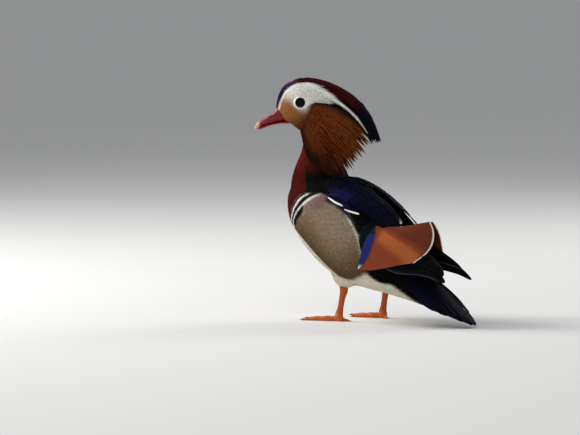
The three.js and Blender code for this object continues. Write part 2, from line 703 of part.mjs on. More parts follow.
const TAIL_LINE = smoothCurve([[0, 34, 78], [0, 50, 67.5], [0, 80, 49.5], [0, 113, 25], [0, 145.5, 0.6]]);
const tailHalfWidth = smoothLine([[0, 7], [0.25, 14], [0.5, 24], [0.75, 27], [1, 18]]);
const TAIL_TENT = 8; // how much lower the edges lie than the middle
const TAIL_TIERS = 1.9; // rise of the middle pair over the outermost
const TAIL_VANE = { halfWidth: 7.2, steps: 5 };

function tailPoint(along, across, lift = 0) {
  const point = TAIL_LINE(along);
  point.x = tailHalfWidth(along) * across;
  const up = new THREE.Vector3(0, 0.56, 0.83);
  return point.addScaledVector(up, lift - TAIL_TENT * across * across * (1 - 0.8 * along ** 3));
}

function tailFeather(across, start, end, halfWidth, lift) {
  const at = (share) => start + (end - start) * share;
  const path = (share) => tailPoint(at(share), across, lift * Math.min(1, share * 2));
  const inner = (share) => tailPoint(at(share), across * 0.95, 0);
  const facing = (share) => tailPoint(at(share), across * 1.05, 3).sub(inner(share));
  const width = featherWidth(halfWidth, 0.4, 0.6);
  return blade({ path, facing, halfWidth: width, thickness: VANE_THICKNESS, steps: TAIL_VANE.steps });
}

/** The tail's inner body, which the feathers' roots lie on. */
function tailCore() {
  return mould(STEPS.tail, (share, angle) => {
    const along = 0.45 * (0.5 - 0.5 * Math.cos(Math.PI * share));
    const close = Math.sin(Math.PI * share) ** 0.6;
    return tailPoint(along, 0.7 * Math.cos(angle) * close, 2.4 * Math.sin(angle) * close);
  });
}

function tailFeathers() {
  const feathers = [];
  const half = (TAIL_FEATHERS - 1) / 2;
  for (let i = -half; i <= half; i += 1) {
    const across = i / half;
    const end = 1 - 0.26 * Math.abs(across) ** 1.7;
    const lift = TAIL_TIERS * (1 - Math.abs(across)) + 0.7 * (Math.abs(i) % 2);
    feathers.push(tailFeather(across * 0.9, 0.2, end, TAIL_VANE.halfWidth, lift));
  }
  // Upper tail coverts
  for (let i = -1; i <= 1; i += 1) {
    feathers.push(tailFeather(i * 0.5, 0.04, 0.6 - 0.05 * Math.abs(i), 8.2, 4.2 - 0.6 * Math.abs(i)));
  }
  return feathers;
}

// Legs and webbed feet

// By the share up the leg, from inside the foot to inside the thigh
const legHeight = smoothLine([[0, 3], [0.12, 7], [0.3, 13], [0.6, 24], [0.85, 34], [1, 46]]);
const legForward = smoothLine([[0, 0.6], [0.12, 0], [0.3, -1.4], [0.6, -3.6], [0.85, -5.6], [1, -5]]);
const legHalfLength = smoothLine([[0, 4.6], [0.12, 4.4], [0.3, 3.6], [0.6, 3.6], [0.85, 4.9], [1, 6]]);
const legHalfWidth = smoothLine([[0, 3.6], [0.12, 3.2], [0.3, 2.5], [0.6, 2.5], [0.85, 3.4], [1, 4.6]]);

function legPoint(side, share, angle) {
  const open = share === 0 || share === 1 ? 0 : 1;
  const across = legHalfWidth(share) * Math.sin(angle) * open;
  const along = legHalfLength(share) * Math.cos(angle) * open;
  return new THREE.Vector3(
    side * LEG_SIDE * (1 - 0.05 * share) + across,
    -(side * STEP + legForward(share)) - along,
    legHeight(share),
  );
}

function legSolid(side) {
  return mould(STEPS.leg, (share, angle) => legPoint(side, share, angle));
}

const THIGH = { halfWidth: 13, halfLength: 17, halfHeight: 17, height: 51, back: 7, inset: 3 };

/** Feathered thigh: the bulge of the flank that the leg comes out of. */
function thigh(side, grow = 0) {
  return mould(STEPS.thigh, (share, angle) => {
    const drop = -Math.cos(Math.PI * share);
    const ring = Math.sin(Math.PI * share);
    return new THREE.Vector3(
      side * (LEG_SIDE - THIGH.inset) + (THIGH.halfWidth + grow) * ring * Math.sin(angle),
      THIGH.back - side * STEP - (THIGH.halfLength + grow) * ring * Math.cos(angle),
      THIGH.height + (THIGH.halfHeight + grow) * drop,
    );
  });
}

/** A toe from the ankle to its claw, with its knuckles, lying flat on the floor. */
function toe(start, turn, length, width) {
  const direction = new THREE.Vector3(Math.sin(turn), -Math.cos(turn), 0);
  const sideways = new THREE.Vector3(Math.cos(turn), Math.sin(turn), 0);
  const knuckle = (share) => 1 + 0.16 * Math.cos(share * 3 * 2 * Math.PI);
  return mould(STEPS.toe, (share, angle) => {
    const taper = THREE.MathUtils.lerp(1.25, 0.45, share) * knuckle(share);
    const close = share === 0 || share === 1 ? 0 : 1;
    const half = width * taper * close;
    const high = (half + 0.32) * close;
    const curl = -4 * Math.max(0, share - 0.85);
    const middle = (0.7 * width + 0.2) * THREE.MathUtils.lerp(1.25, 0.5, share);
    const point = start.clone().addScaledVector(direction, share * length);
    point.addScaledVector(sideways, half * Math.cos(angle));
    return point.setZ(middle + high * Math.sin(angle) + curl);
  });
}

const TOE_SPREAD = 0.42; // turn of the outer and inner toes from straight ahead
const HIND_TOE = { turn: 0.35, length: 12, width: 1.7 };
const WEB = { outward: 0.86, scallop: 0.13, bow: 5 }; // reach along the toes, dip between them, bulge
const FOOT_PAD = { halfWidth: 5.2, halfLength: 5.6, height: 3.6, halfHeight: 5.2 };

/** The web between the toes, a thin plate with scalloped front edges. */
function webOf(heel, outer, inner) {
  return sheet(2, 6, (along, across, face) => {
    const fan = (across + 1) / 2;
    const turn = THREE.MathUtils.lerp(outer.turn, inner.turn, fan);
    const scallop = WEB.outward - WEB.scallop * Math.abs(Math.sin(2 * Math.PI * fan));
    const bow = THREE.MathUtils.lerp(outer.length, inner.length, fan) + WEB.bow * Math.sin(Math.PI * fan);
    const reach = THREE.MathUtils.lerp(0.05, scallop, along) * bow;
    const rise = 1.1 * (1 - along) + ((1 + face) * WEB_THICKNESS) / 2;
    return new THREE.Vector3(heel.x + Math.sin(turn) * reach, heel.y - Math.cos(turn) * reach, rise);
  });
}

function footPad(heel) {
  return mould(STEPS.footPad, (share, angle) => {
    const ring = Math.sin(Math.PI * share);
    return new THREE.Vector3(
      heel.x + FOOT_PAD.halfWidth * ring * Math.sin(angle),
      heel.y + FOOT_PAD.halfLength * ring * Math.cos(angle),
      FOOT_PAD.height - FOOT_PAD.halfHeight * Math.cos(Math.PI * share),
    );
  });
}

function foot(side) {
  const heel = new THREE.Vector3(side * LEG_SIDE, -side * STEP, 0);
  const outer = { turn: side * TOE_SPREAD, length: TOE_LENGTH.outer, width: 2.5 };
  const middle = { turn: 0.02 * side, length: TOE_LENGTH.middle, width: 2.6 };
  const inner = { turn: -side * TOE_SPREAD, length: TOE_LENGTH.inner, width: 2.4 };
  const pieces = [outer, middle, inner].map(({ turn, length, width }) => toe(heel, turn, length, width));
  const hind = heel.clone().add(new THREE.Vector3(-side * 1.5, 2, 0));
  pieces.push(toe(hind, Math.PI + side * HIND_TOE.turn, HIND_TOE.length, HIND_TOE.width));
  pieces.push(webOf(heel, outer, inner), footPad(heel));
  return union(pieces);
}

/** Everything above the floor. */
function aboveFloor(solid) {
  return solid.trimByPlane([0, 0, 1], 0);
}

// Assembly: each piece is cut clear of the one that it grows from

const body = torsoSolid();
const bodyGrown = torsoSolid(GAP);
const thighs = [1, -1].map((side) => thigh(side));
const thighsGrown = [1, -1].map((side) => thigh(side, GAP));
const torso = union([body, ...thighs]);
const torsoClear = union([bodyGrown, ...thighsGrown]);

const eyes = [1, -1].map((side) => eyeball(side));
const eyesClear = union([1, -1].map((side) => eyeball(side, GAP)));
const skullClear = skullSolid(GAP);
const billUpper = upperBill().subtract(union([nostril(1), nostril(-1)])).subtract(skullClear);
const billLower = lowerBill().subtract(skullClear).subtract(upperBill(GAP));

const neckClear = neckSolid(GAP);
const neck = neckSolid().subtract(torsoClear).subtract(skullClear);
const cheeks = [1, -1].flatMap((side) => [ruffPad(side), ...hackles(side)]);
const ruff = union([ruffCore(), ...cheeks]).subtract(neckClear).subtract(torsoClear);
const crest = union([crestCore(), ...crestLocks()]);
const head = union([skullSolid(), ruff, crest, eyelid(1), eyelid(-1)]).subtract(eyesClear);

const sails = [sail(), mirrored(sail())];
const wingBare = union([wingCore(), ...flightFeathers(), ...scapulars()]);
const wingLeft = wingBare.subtract(torsoClear).subtract(sail(GAP)).subtract(neckClear);

const tail = aboveFloor(union([tailCore(), ...tailFeathers()]).subtract(torsoClear));
const feet = [1, -1].map((side) => aboveFloor(foot(side)));
const legs = [1, -1].map((side) => legSolid(side));

const materials = {
  plumage: finish('buff', 0.8),
  head: finish('white', 0.75),
  chestnut: finish('chestnut', 0.75),
  bill: finish('crimson', 0.35),
  eye: finish('eye', 0.08),
  wing: finish('navy', 0.55),
  sail: finish('sail', 0.6),
  tail: finish('tail', 0.65),
  leg: finish('leg', 0.45),
};

const bird = new THREE.Group();
bird.add(meshOf('torso', torso, materials.plumage));
bird.add(meshOf('neck', neck, materials.chestnut));
bird.add(meshOf('head', head, materials.head));
bird.add(meshOf('bill_upper', billUpper, materials.bill));
bird.add(meshOf('bill_lower', billLower, materials.bill));
bird.add(meshOf('tail', tail, materials.tail));
['left', 'right'].forEach((name, i) => {
  const wing = i ? mirrored(wingLeft) : wingLeft;
  bird.add(meshOf(`eye_${name}`, eyes[i], materials.eye));
  bird.add(meshOf(`wing_${name}`, wing, materials.wing));
  bird.add(meshOf(`sail_${name}`, sails[i].subtract(torsoClear), materials.sail));
  const leg = legs[i].subtract(torsoClear).subtract(foot(i ? -1 : 1));
  bird.add(meshOf(`leg_${name}`, leg, materials.leg));
  bird.add(meshOf(`foot_${name}`, feet[i], materials.leg));
});

bird.position.y = -MIDDLE; // the origin comes to the middle of the bird's length, on the floor

export default bird;
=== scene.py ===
"""A life-size mandarin drake, standing with its head turned to its left.

The form tables are in millimetres on the bird's own axes: x towards its left, y towards its
tail, z up, with the soles at z = 0. `to_scene` turns them into the scene's metres.
"""
import logging
import math
from dataclasses import dataclass
from enum import Enum, IntEnum
from functools import partial
from typing import Callable, Optional, Sequence

import bmesh
import bpy
import numpy as np
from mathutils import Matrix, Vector
from mathutils.bvhtree import BVHTree
from mathutils.kdtree import KDTree


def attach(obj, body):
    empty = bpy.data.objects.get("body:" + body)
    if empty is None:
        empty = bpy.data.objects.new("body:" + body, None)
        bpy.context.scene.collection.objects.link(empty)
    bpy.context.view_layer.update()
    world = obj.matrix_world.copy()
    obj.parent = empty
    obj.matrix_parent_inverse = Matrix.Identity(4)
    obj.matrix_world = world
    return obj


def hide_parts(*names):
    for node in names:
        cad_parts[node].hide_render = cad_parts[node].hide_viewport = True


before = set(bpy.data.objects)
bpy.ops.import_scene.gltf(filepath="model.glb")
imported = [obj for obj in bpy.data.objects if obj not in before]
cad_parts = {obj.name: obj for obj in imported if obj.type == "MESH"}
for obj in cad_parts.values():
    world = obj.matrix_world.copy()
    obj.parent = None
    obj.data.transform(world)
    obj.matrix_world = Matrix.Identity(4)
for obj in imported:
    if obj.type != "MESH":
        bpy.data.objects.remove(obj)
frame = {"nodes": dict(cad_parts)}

logging.basicConfig(level=logging.INFO, format="%(message)s")
LOG = logging.getLogger("mandarin_drake")

Array = np.ndarray
Triple = tuple[float, float, float]
Rows = Sequence[Sequence[float]]
Form = bmesh.types.BMesh
Mesh = bpy.types.Mesh
Piece = bpy.types.Object
Socket = bpy.types.NodeSocket
Line = Callable[[Array], Array]
Place = Callable[[Array, Array], Array]

MM = 0.001
MIDDLE = 20.0  # the middle of the whole length lies this far behind the body's own origin
BODY = "root"
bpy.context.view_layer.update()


class Side(float, Enum):
    """The bird's two sides, by the direction of x."""

    LEFT = 1.0
    RIGHT = -1.0

    @property
    def label(self) -> str:
        """The side's word in the pieces' names."""
        return self.name.lower()


class Slot(Enum):
    """The record's material slots."""

    BODY = "body_plumage"
    CHESTNUT = "chestnut_plumage"
    HEAD = "head_plumage"
    WING = "wing_plumage"
    SAIL = "sail_plumage"
    TAIL = "tail_plumage"
    BILL = "bill"
    EYE = "eye"
    LEG = "leg_skin"


class Dye(Enum):
    """The bird's colours, as hex codes."""

    CREAM = "e6ddc8"
    WHITE = "efece2"
    MAROON = "4a1008"
    BUFF = "9c8665"
    TAUPE = "a39482"
    BROWN = "3f2614"
    BLACK = "09090b"
    MANTLE = "0b0b0d"
    OLIVE = "0d0d0e"
    TAIL = "0a0c1b"
    VIOLET = "191740"
    NAVY = "0a0d22"
    TEAL = "0b141a"
    CROWN = "3d0b0a"
    PURPLE = "46235f"
    NAPE = "0b0a12"
    GREEN = "081616"
    OCHRE = "a0611d"
    CHEEK = "55200a"
    CHESTNUT = "3a0d05"
    THROAT = "7c240d"
    STREAK = "94531f"
    SILVER = "5c5a66"
    SAIL = "8c3d17"
    # Painted light on the sail: a highlight, then a shade
    SAIL_LIGHT = "ba6330"
    SAIL_DARK = "692b12"
    SAIL_BLUE = "18206c"
    PINK = "8f746c"
    CRIMSON = "7c0e18"
    # Painted highlight along the bill's ridge
    RIDGE = "a8424a"
    # Painted rim light along the bill's keel
    KEEL = "b8402c"
    NAIL = "cfa592"
    # Painted shade in the mouth's groove and the nostrils
    MOUTH = "2a0a0c"
    PUPIL = "020202"
    IRIS = "180d07"
    EYE_RIM = "050303"
    LID = "15100e"
    SHANK = "b8540f"
    SHANK_PALE = "cc7a34"
    SHANK_DARK = "863a12"
    CLAW = "3a2c26"

    @property
    def colour(self) -> Array:
        """The code's linear colour."""
        parts = [int(self.value[i:i + 2], 16) / 255 for i in (0, 2, 4)]
        return np.array([((c + 0.055) / 1.055) ** 2.4 if c > 0.04 else c / 12.92 for c in parts])


def to_scene(points: Array) -> Array:
    """Turns the bird's own millimetres into the scene's metres."""
    return (np.asarray(points, float) + (0.0, -MIDDLE, 0.0)) * MM


def from_scene(points: Array) -> Array:
    """Turns the scene's metres into the bird's own millimetres."""
    return np.asarray(points, float) / MM + (0.0, MIDDLE, 0.0)


class SmoothLine:
    """A smooth function through given points, which holds its end values outside them."""

    def __init__(self, *pairs: Sequence[float]) -> None:
        """Takes the (position, value) points, in rising order of position."""
        self.xs, self.ys = np.array(pairs, float).T
        self.slopes = np.gradient(self.ys, self.xs)

    def __call__(self, at: Array) -> Array:
        """Reads the line.

        Args:
            at: The positions.

        Returns:
            The line's value at each position.
        """
        xs, ys = self.xs, self.ys
        at = np.clip(np.asarray(at, float), xs[0], xs[-1])
        i = np.clip(np.searchsorted(xs, at, side="right") - 1, 0, len(xs) - 2)
        step = xs[i + 1] - xs[i]
        t = (at - xs[i]) / step
        rise = (3 - 2 * t) * t * t
        return (ys[i] * (1 - rise) + ys[i + 1] * rise
                + step * t * (1 - t) * (self.slopes[i] * (1 - t) - self.slopes[i + 1] * t))


class SmoothCurve:
    """A smooth curve through given points, by the share along it from 0 to 1."""

    def __init__(self, *points: Sequence[float]) -> None:
        """Takes the points, in order."""
        knots = np.array(points, float)
        self.knots = np.vstack([2 * knots[0] - knots[1], knots, 2 * knots[-1] - knots[-2]])
        self.gaps = np.maximum(np.linalg.norm(np.diff(self.knots, axis=0), axis=1) ** 0.5, 1e-3)

    def __call__(self, share: Array) -> Array:
        """Reads the curve.

        Args:
            share: The shares along it.

        Returns:
            The curve's point at each share.
        """
        at = np.clip(np.asarray(share, float), 0, 1) * (len(self.knots) - 3)
        i = np.minimum(at.astype(int), len(self.knots) - 4)
        t = (at - i)[..., None]
        a, b, c, d = (self.knots[i + k] for k in range(4))
        ga, gb, gc = (self.gaps[i + k][..., None] for k in range(3))
        first = gb * ((b - a) / ga - (c - a) / (ga + gb) + (c - b) / gb)
        last = gb * ((c - b) / gb - (d - b) / (gb + gc) + (d - c) / gc)
        return (b + first * t + (3 * (c - b) - 2 * first - last) * t ** 2
                + (2 * (b - c) + first + last) * t ** 3)


def straight_runs(at: Array, points: Rows) -> Array:
    """The value of a line of straight runs through (position, value) points."""
    return np.interp(at, *zip(*points))


def rounded(value: Array, power: float) -> Array:
    """A sine or cosine drawn out towards a squarer, fuller section."""
    return np.sign(value) * np.abs(value) ** (2 / power)


def eased(share: Array) -> Array:
    """A share from 0 to 1 that starts and ends slowly."""
    return 0.5 - 0.5 * np.cos(math.pi * share)


def opening(share: Array, power: float = 1) -> Array:
    """How wide a form that is closed at both ends is open at a share along it."""
    return np.sin(math.pi * share) ** power


def shut_ends(share: Array) -> Array:
    """Nothing at the two ends of a form, and one between them."""
    return np.where((share == 0) | (share == 1), 0, 1)


def ramp(value: Array, edge: float | Array, soft: float) -> Array:
    """Rises smoothly from 0 to 1 over a width of soft, with its middle at edge."""
    t = np.clip((value - edge) / soft + 0.5, 0, 1)
    return t * t * (3 - 2 * t)


def mix(a: Array, b: Array, share: Array) -> Array:
    """Blends two arrays of points or colours by a share for each."""
    share = np.asarray(share, float)[..., None]
    return a * (1 - share) + b * share


def layered(ground: Dye, shape: Sequence[int], *layers: tuple[Dye, Array]) -> Array:
    """Lays dyes one over another.

    Args:
        ground: The lowest dye.
        shape: The shape of the colours wanted, with 3 as its last size.
        layers: The dyes above it in order, each with its share at every place.

    Returns:
        The colours.
    """
    colours = np.broadcast_to(ground.colour, shape)
    for dye, share in layers:
        colours = mix(colours, dye.colour, np.clip(share, 0, 1))
    return colours


def unit(vectors: Array) -> Array:
    """Vectors scaled to a length of one."""
    return vectors / np.maximum(np.linalg.norm(vectors, axis=-1, keepdims=True), 1e-9)


def shaped(form: Form, points: Array) -> Form:
    """Moves a form's vertices to points given in the bird's own millimetres.

    Args:
        form: The form.
        points: A point for each vertex.

    Returns:
        The form, with its faces outwards.
    """
    for vertex, point in zip(form.verts, to_scene(points)):
        vertex.co = point
    bmesh.ops.recalc_face_normals(form, faces=form.faces)
    return form


def ball(around: int, along: int) -> tuple[Form, Array, Array]:
    """A sphere of sides and bands.

    Args:
        around: Its number of sides.
        along: Its number of bands.

    Returns:
        The sphere, and the band and the angle of each of its vertices.
    """
    form = bmesh.new()
    bmesh.ops.create_uvsphere(form, u_segments=around, v_segments=along, radius=1.0)
    x, y, z = np.array([v.co for v in form.verts]).T
    return form, np.round(np.arccos(np.clip(z, -1, 1)) / math.pi * along), np.arctan2(y, x)


def mould(around: int, along: int, place: Place) -> Form:
    """Shapes a sphere into a rounded closed form.

    Args:
        around: Its number of sides.
        along: Its number of bands.
        place: Gives the points, in the bird's own millimetres, for shares along and angles.

    Returns:
        The form, in the scene's metres.
    """
    form, bands, angle = ball(around, along)
    return shaped(form, place(bands / along, angle))


def sheet(columns: int, rows: int, thickness: float, place: Place) -> Form:
    """Shapes a grid into a thin closed sheet.

    Args:
        columns: The number of its columns.
        rows: The number of its rows.
        thickness: Its thickness in metres.
        place: Gives the points, in the bird's own millimetres, for shares each way.

    Returns:
        The form, in the scene's metres.
    """
    form = bmesh.new()
    bmesh.ops.create_grid(form, x_segments=columns, y_segments=rows, size=0.5)
    first, second, _ = np.array([v.co for v in form.verts]).T + 0.5
    shaped(form, place(first, second))
    bmesh.ops.solidify(form, geom=form.faces[:], thickness=thickness)
    bmesh.ops.recalc_face_normals(form, faces=form.faces)
    return form


def linked(name: str, data: bpy.types.ID) -> Piece:
    """Makes an object.

    Args:
        name: The object's name.
        data: The mesh, light or camera that it shows.

    Returns:
        The linked object, at the scene's origin.
    """
    made = bpy.data.objects.new(name, data)
    bpy.context.scene.collection.objects.link(made)
    return made


def piece_of(name: str, *forms: Form) -> Piece:
    """Joins forms into one linked mesh object that is shaded smooth.

    Args:
        name: The object's name.
        forms: The forms, which are freed.

    Returns:
        The object.
    """
    mesh = bpy.data.meshes.new(name)
    whole = bmesh.new()
    for form in forms:
        form.to_mesh(mesh)
        whole.from_mesh(mesh)
        form.free()
    whole.to_mesh(mesh)
    whole.free()
    mesh.shade_smooth()
    return linked(name, mesh)


def paint(mesh: Mesh, colours: Array) -> None:
    """Stores a colour for each vertex of a mesh.

    Args:
        mesh: The mesh.
        colours: A colour for each vertex.
    """
    full = np.ones((len(mesh.vertices), 4), np.float32)
    full[:, :3] = colours
    mesh.attributes.new("tint", "FLOAT_COLOR", "POINT").data.foreach_set("color", full.ravel())


def store_lay(mesh: Mesh, lays: Array) -> None:
    """Stores three numbers for each vertex: its place on its vane, and the strength of its streak."""
    layer = mesh.attributes.new("lay", "FLOAT_VECTOR", "POINT")
    layer.data.foreach_set("vector", lays.astype(np.float32).ravel())


def read_vectors(mesh: Mesh, name: str, kind: type = float) -> Array:
    """Reads the place or the normal of each vertex, as stored.

    Args:
        mesh: The mesh.
        name: "co" or "normal".
        kind: The kind of number wanted.

    Returns:
        A row for each vertex.
    """
    flat = np.zeros(len(mesh.vertices) * 3, kind)
    mesh.vertices.foreach_get(name, flat)
    return flat.reshape(-1, 3)


def own_points(mesh: Mesh) -> Array:
    """A mesh's vertices in the bird's own millimetres."""
    return from_scene(read_vectors(mesh, "co"))


@dataclass(frozen=True)
class HeadFrame:
    """The head's own axes: forward along the bill, left and up from the head's centre."""

    turn: float = math.radians(38)
    centre: Triple = (9.6, -57.8, 225.0)

    def place(self, forward: Array, left: Array, up: Array) -> Array:
        """Turns a place of the head into the bird's own point.

        Args:
            forward: How far forward it lies.
            left: How far to the left.
            up: How far up.

        Returns:
            The point.
        """
        forward, left, up = np.broadcast_arrays(forward, left, up)
        c, s = math.cos(self.turn), math.sin(self.turn)
        return np.stack([left * c + forward * s, left * s - forward * c, up], axis=-1) + self.centre

    def local(self, points: Array) -> tuple[Array, Array, Array]:
        """Turns the bird's own points into places of the head.

        Args:
            points: The points.

        Returns:
            How far forward, left and up of the head's centre each point lies.
        """
        x, y, z = np.moveaxis(np.asarray(points) - self.centre, -1, 0)
        c, s = math.cos(self.turn), math.sin(self.turn)
        return x * s - y * c, x * c + y * s, z


HEAD = HeadFrame()


@dataclass(frozen=True)
class EyeForm:
    """Where the eyes sit in the head, and their sizes."""

    forward: float = 12.5
    up: float = 2.4
    radius: float = 6.1
    opening: float = 5.0
    stand_out: float = 2.3
    splay: float = math.radians(8)


EYE = EyeForm()


@dataclass(frozen=True)
class Stance:
    """Where the ankles stand: to the side, and one a little ahead of the other."""

    side: float = 28.0
    step: float = 7.8

    def ankle(self, side: Side) -> Array:
        """The floor's point under one ankle."""
        return np.array((side * self.side, -side * self.step, 0.0))


STANCE = Stance()


@dataclass
class SectionForm:
    """A closed form by upright sections: place along, top, bottom and half width."""

    sections: Rows
    fullness: float  # 2 for round sections, more for squarer ones

    def __post_init__(self) -> None:
        """Draws the lines of its top, bottom and sides."""
        self.front, self.back = self.sections[0][0], self.sections[-1][0]
        shares = [self.share(row[0]) for row in self.sections]
        self.top, self.bottom, self.half_width = (
            SmoothLine(*((s, row[k]) for s, row in zip(shares, self.sections))) for k in (1, 2, 3))

    def share(self, at: Array) -> Array:
        """The share along the form of a place on its length."""
        along = 2 * (np.asarray(at, float) - self.front) / (self.back - self.front)
        return np.arccos(np.clip(1 - along, -1, 1)) / math.pi

    def section(self, share: Array, least: float = 0) -> tuple[Array, Array, Array]:
        """The section at a share along.

        Args:
            share: The share.
            least: The least size that it counts as.

        Returns:
            Its middle's height, its half height and its half width.
        """
        top, bottom = self.top(share), self.bottom(share)
        return ((top + bottom) / 2, np.maximum(least, top - bottom) / 2,
                np.maximum(least, self.half_width(share)))

    def profile(self, share: Array, angle: Array) -> tuple[Array, Array, Array]:
        """A point of the surface.

        Args:
            share: The share along.
            angle: The angle up from the left side.

        Returns:
            How far along, across and up it lies.
        """
        middle, reach, side = self.section(share)
        along = (self.front + self.back) / 2 - (self.back - self.front) / 2 * np.cos(math.pi * share)
        return (along, side * rounded(np.cos(angle), self.fullness),
                middle + reach * rounded(np.sin(angle), self.fullness))


@dataclass
class Torso(SectionForm):
    """The body from the breast to the end of the undertail coverts."""

    sections: Rows = (
        # y, top, bottom, half width
        (-84, 126, 126, 0), (-80, 139, 111, 22), (-68, 149, 87, 38), (-50, 153, 68, 48),
        (-28, 150, 50, 53), (-5, 139, 39, 54), (20, 126, 33, 52), (45, 104, 29, 45),
        (60, 83, 26, 37), (75, 58, 22.5, 28), (88, 41, 19, 20), (98, 31, 17, 12), (105, 23, 23, 0),
    )
    fullness: float = 2.25
    least: float = 1e-3  # the least size that a section counts as

    def point(self, share: Array, angle: Array) -> Array:
        """The surface's point at a share along and an angle up from the left side."""
        y, x, z = self.profile(share, angle)
        return np.stack([x, y, z], axis=-1)

    def outward(self, points: Array) -> Array:
        """Brings points that lie inside the body out to its surface, within their own sections.

        Args:
            points: The points.

        Returns:
            The points, with those inside moved.
        """
        x, y, z = np.moveaxis(points, -1, 0)
        middle, reach, side = self.section(self.share(y), self.least)
        depth = (np.abs(x / side) ** self.fullness
                 + np.abs((z - middle) / reach) ** self.fullness) ** (1 / self.fullness)
        inside = (depth < 1) & (y > self.sections[1][0]) & (y < self.sections[-2][0])
        scale = np.where(inside, 1 / np.maximum(depth, self.least), 1.0)
        return np.stack([x * scale, y, middle + (z - middle) * scale], axis=-1)


@dataclass
class Neck:
    """The neck from inside the body up into the head, by level sections."""

    sections: Rows = (
        # z, forward, left, half length, half width, share of the head's turn
        (108, 44, 0, 0, 0, 0), (120, 46, 0, 36, 37, 0), (134, 49, 0, 38, 39, 0.02),
        (148, 53, 0.5, 32, 31, 0.15), (162, 53.4, 1.5, 26, 24, 0.4), (176, 50.6, 3.5, 21.5, 19.5, 0.7),
        (190, 50.9, 5.5, 19, 17, 0.9), (206, 53.3, 6.4, 18, 16, 1), (217, 54.5, 7.5, 0, 0, 1),
    )
    cap: float = 0.55  # how quickly its hidden ends close

    def __post_init__(self) -> None:
        """Draws the lines of its middle, its sections and its turn."""
        self.low, self.high = self.sections[0][0], self.sections[-1][0]
        self.forward, self.left, self.turn = (
            SmoothLine(*((row[0], row[k]) for row in self.sections)) for k in (1, 2, 5))
        self.half_length, self.half_width = (
            SmoothLine(*((row[0], row[k]) for row in self.sections[1:-1])) for k in (3, 4))

    def point(self, share: Array, angle: Array) -> Array:
        """A point of the surface.

        Args:
            share: The share of the height.
            angle: The angle from straight ahead.

        Returns:
            The point.
        """
        z = (self.low + self.high) / 2 - (self.high - self.low) / 2 * np.cos(math.pi * share)
        turned = angle - self.turn(z) * HEAD.turn
        flat = np.hypot(np.cos(turned) / self.half_length(z), np.sin(turned) / self.half_width(z))
        out = opening(share, self.cap) / flat
        return np.stack([self.left(z) + out * np.sin(angle),
                         -(self.forward(z) + out * np.cos(angle)), z], axis=-1)


@dataclass
class Skull(SectionForm):
    """The feathered head without crest and ruff, by sections across its length."""

    sections: Rows = (
        # forward, top, bottom, half width
        (39.5, -10, -10, 0), (38.3, -3, -17.5, 6.2), (35.5, 5.5, -20, 8.6), (31, 14, -21.5, 11.4),
        (24, 21.3, -23.5, 14.2), (15, 25.5, -27, 16.4), (4, 26.6, -34, 17.8), (-8, 24.5, -37, 17.6),
        (-19, 18.5, -36, 15.6), (-28, 8, -28, 11.5), (-33, -9, -9, 0),
    )
    fullness: float = 2.15
    face: tuple[float, float] = (26, 24)  # the middle and the width of the rise from head to face
    face_slope: float = 0.6  # how far the feathered face slopes back below the top of the bill
    face_top: float = -3  # where the slope begins
    end: float = 0.1  # how near its ends a side is measured

    def point(self, share: Array, angle: Array) -> Array:
        """The surface's point at a share along and an angle up from the left side."""
        forward, left, up = self.profile(share, angle)
        slope = self.face_slope * np.minimum(0, up - self.face_top) * ramp(forward, *self.face)
        return HEAD.place(forward + slope, left, up)

    def side(self, forward: Array, up: Array) -> Array:
        """Measures how far its side stands out at a place of its profile.

        Args:
            forward: How far forward the place lies.
            up: How far up.

        Returns:
            The side's distance from the head's middle.
        """
        share = self.share(np.clip(forward, self.back + self.end, self.front - self.end))
        middle, reach, side = self.section(share)
        high = np.clip((up - middle) / reach, -1, 1)
        return side * (1 - np.abs(high) ** self.fullness) ** (1 / self.fullness)


@dataclass
class CrestForm:
    """The crest, swept back from the crown and drooping to a point behind the nape."""

    top: SmoothCurve = SmoothCurve((37.6, -4), (35.3, 8.2), (29.2, 19), (11, 27.6), (-8.5, 25.8), (-28, 18.8),
                                   (-47.8, 6), (-62, -11.5), (-69.5, -30), (-73, -40))
    under: SmoothCurve = SmoothCurve((36.8, -8), (34, 5), (27, 14.5), (10, 15), (-8, 11), (-26, 1),
                                     (-39, -10), (-50, -23), (-58, -34), (-63, -43))
    half_width: SmoothLine = SmoothLine((0, 2.6), (0.11, 3.6), (0.22, 5), (0.38, 11), (0.57, 13), (0.77, 11),
                                        (0.91, 6.5), (1, 2.6))
    ridge: float = 0.12  # the share of that width at the ridge
    fall: float = 2.2  # how quickly it widens down from the ridge
    core_run: tuple[float, float] = (0.24, 0.7)
    core_high: float = 0.42
    core_wide: float = 0.8

    def point(self, along: Array, down: Array, side: Side, lift: Array) -> Array:
        """A point of one side of the crest.

        Args:
            along: The share along it.
            down: The share down from the ridge.
            side: The side.
            lift: The height over it.

        Returns:
            The point.
        """
        forward, up = np.moveaxis(mix(self.top(along), self.under(along), down), -1, 0)
        spread = np.sqrt(np.clip(1 - (1 - down) ** self.fall, 0, 1))
        out = side * (self.half_width(along) * (self.ridge + (1 - self.ridge) * spread) + lift * spread)
        return HEAD.place(forward, out, up + lift * (1 - down))

    def core(self, share: Array, angle: Array) -> Array:
        """The inner body that the feathers lie on.

        Args:
            share: The share along it.
            angle: The angle up from the left side.

        Returns:
            The point.
        """
        start, run = self.core_run
        along = start + run * eased(share)
        close = opening(share, 0.6)
        top, under = self.top(along), self.under(along)
        forward, up = np.moveaxis((top + under) / 2, -1, 0)
        high = np.linalg.norm(top - under, axis=-1) * self.core_high * close
        wide = self.half_width(along) * self.core_wide * close
        return HEAD.place(forward, wide * np.cos(angle), up + high * np.sin(angle))


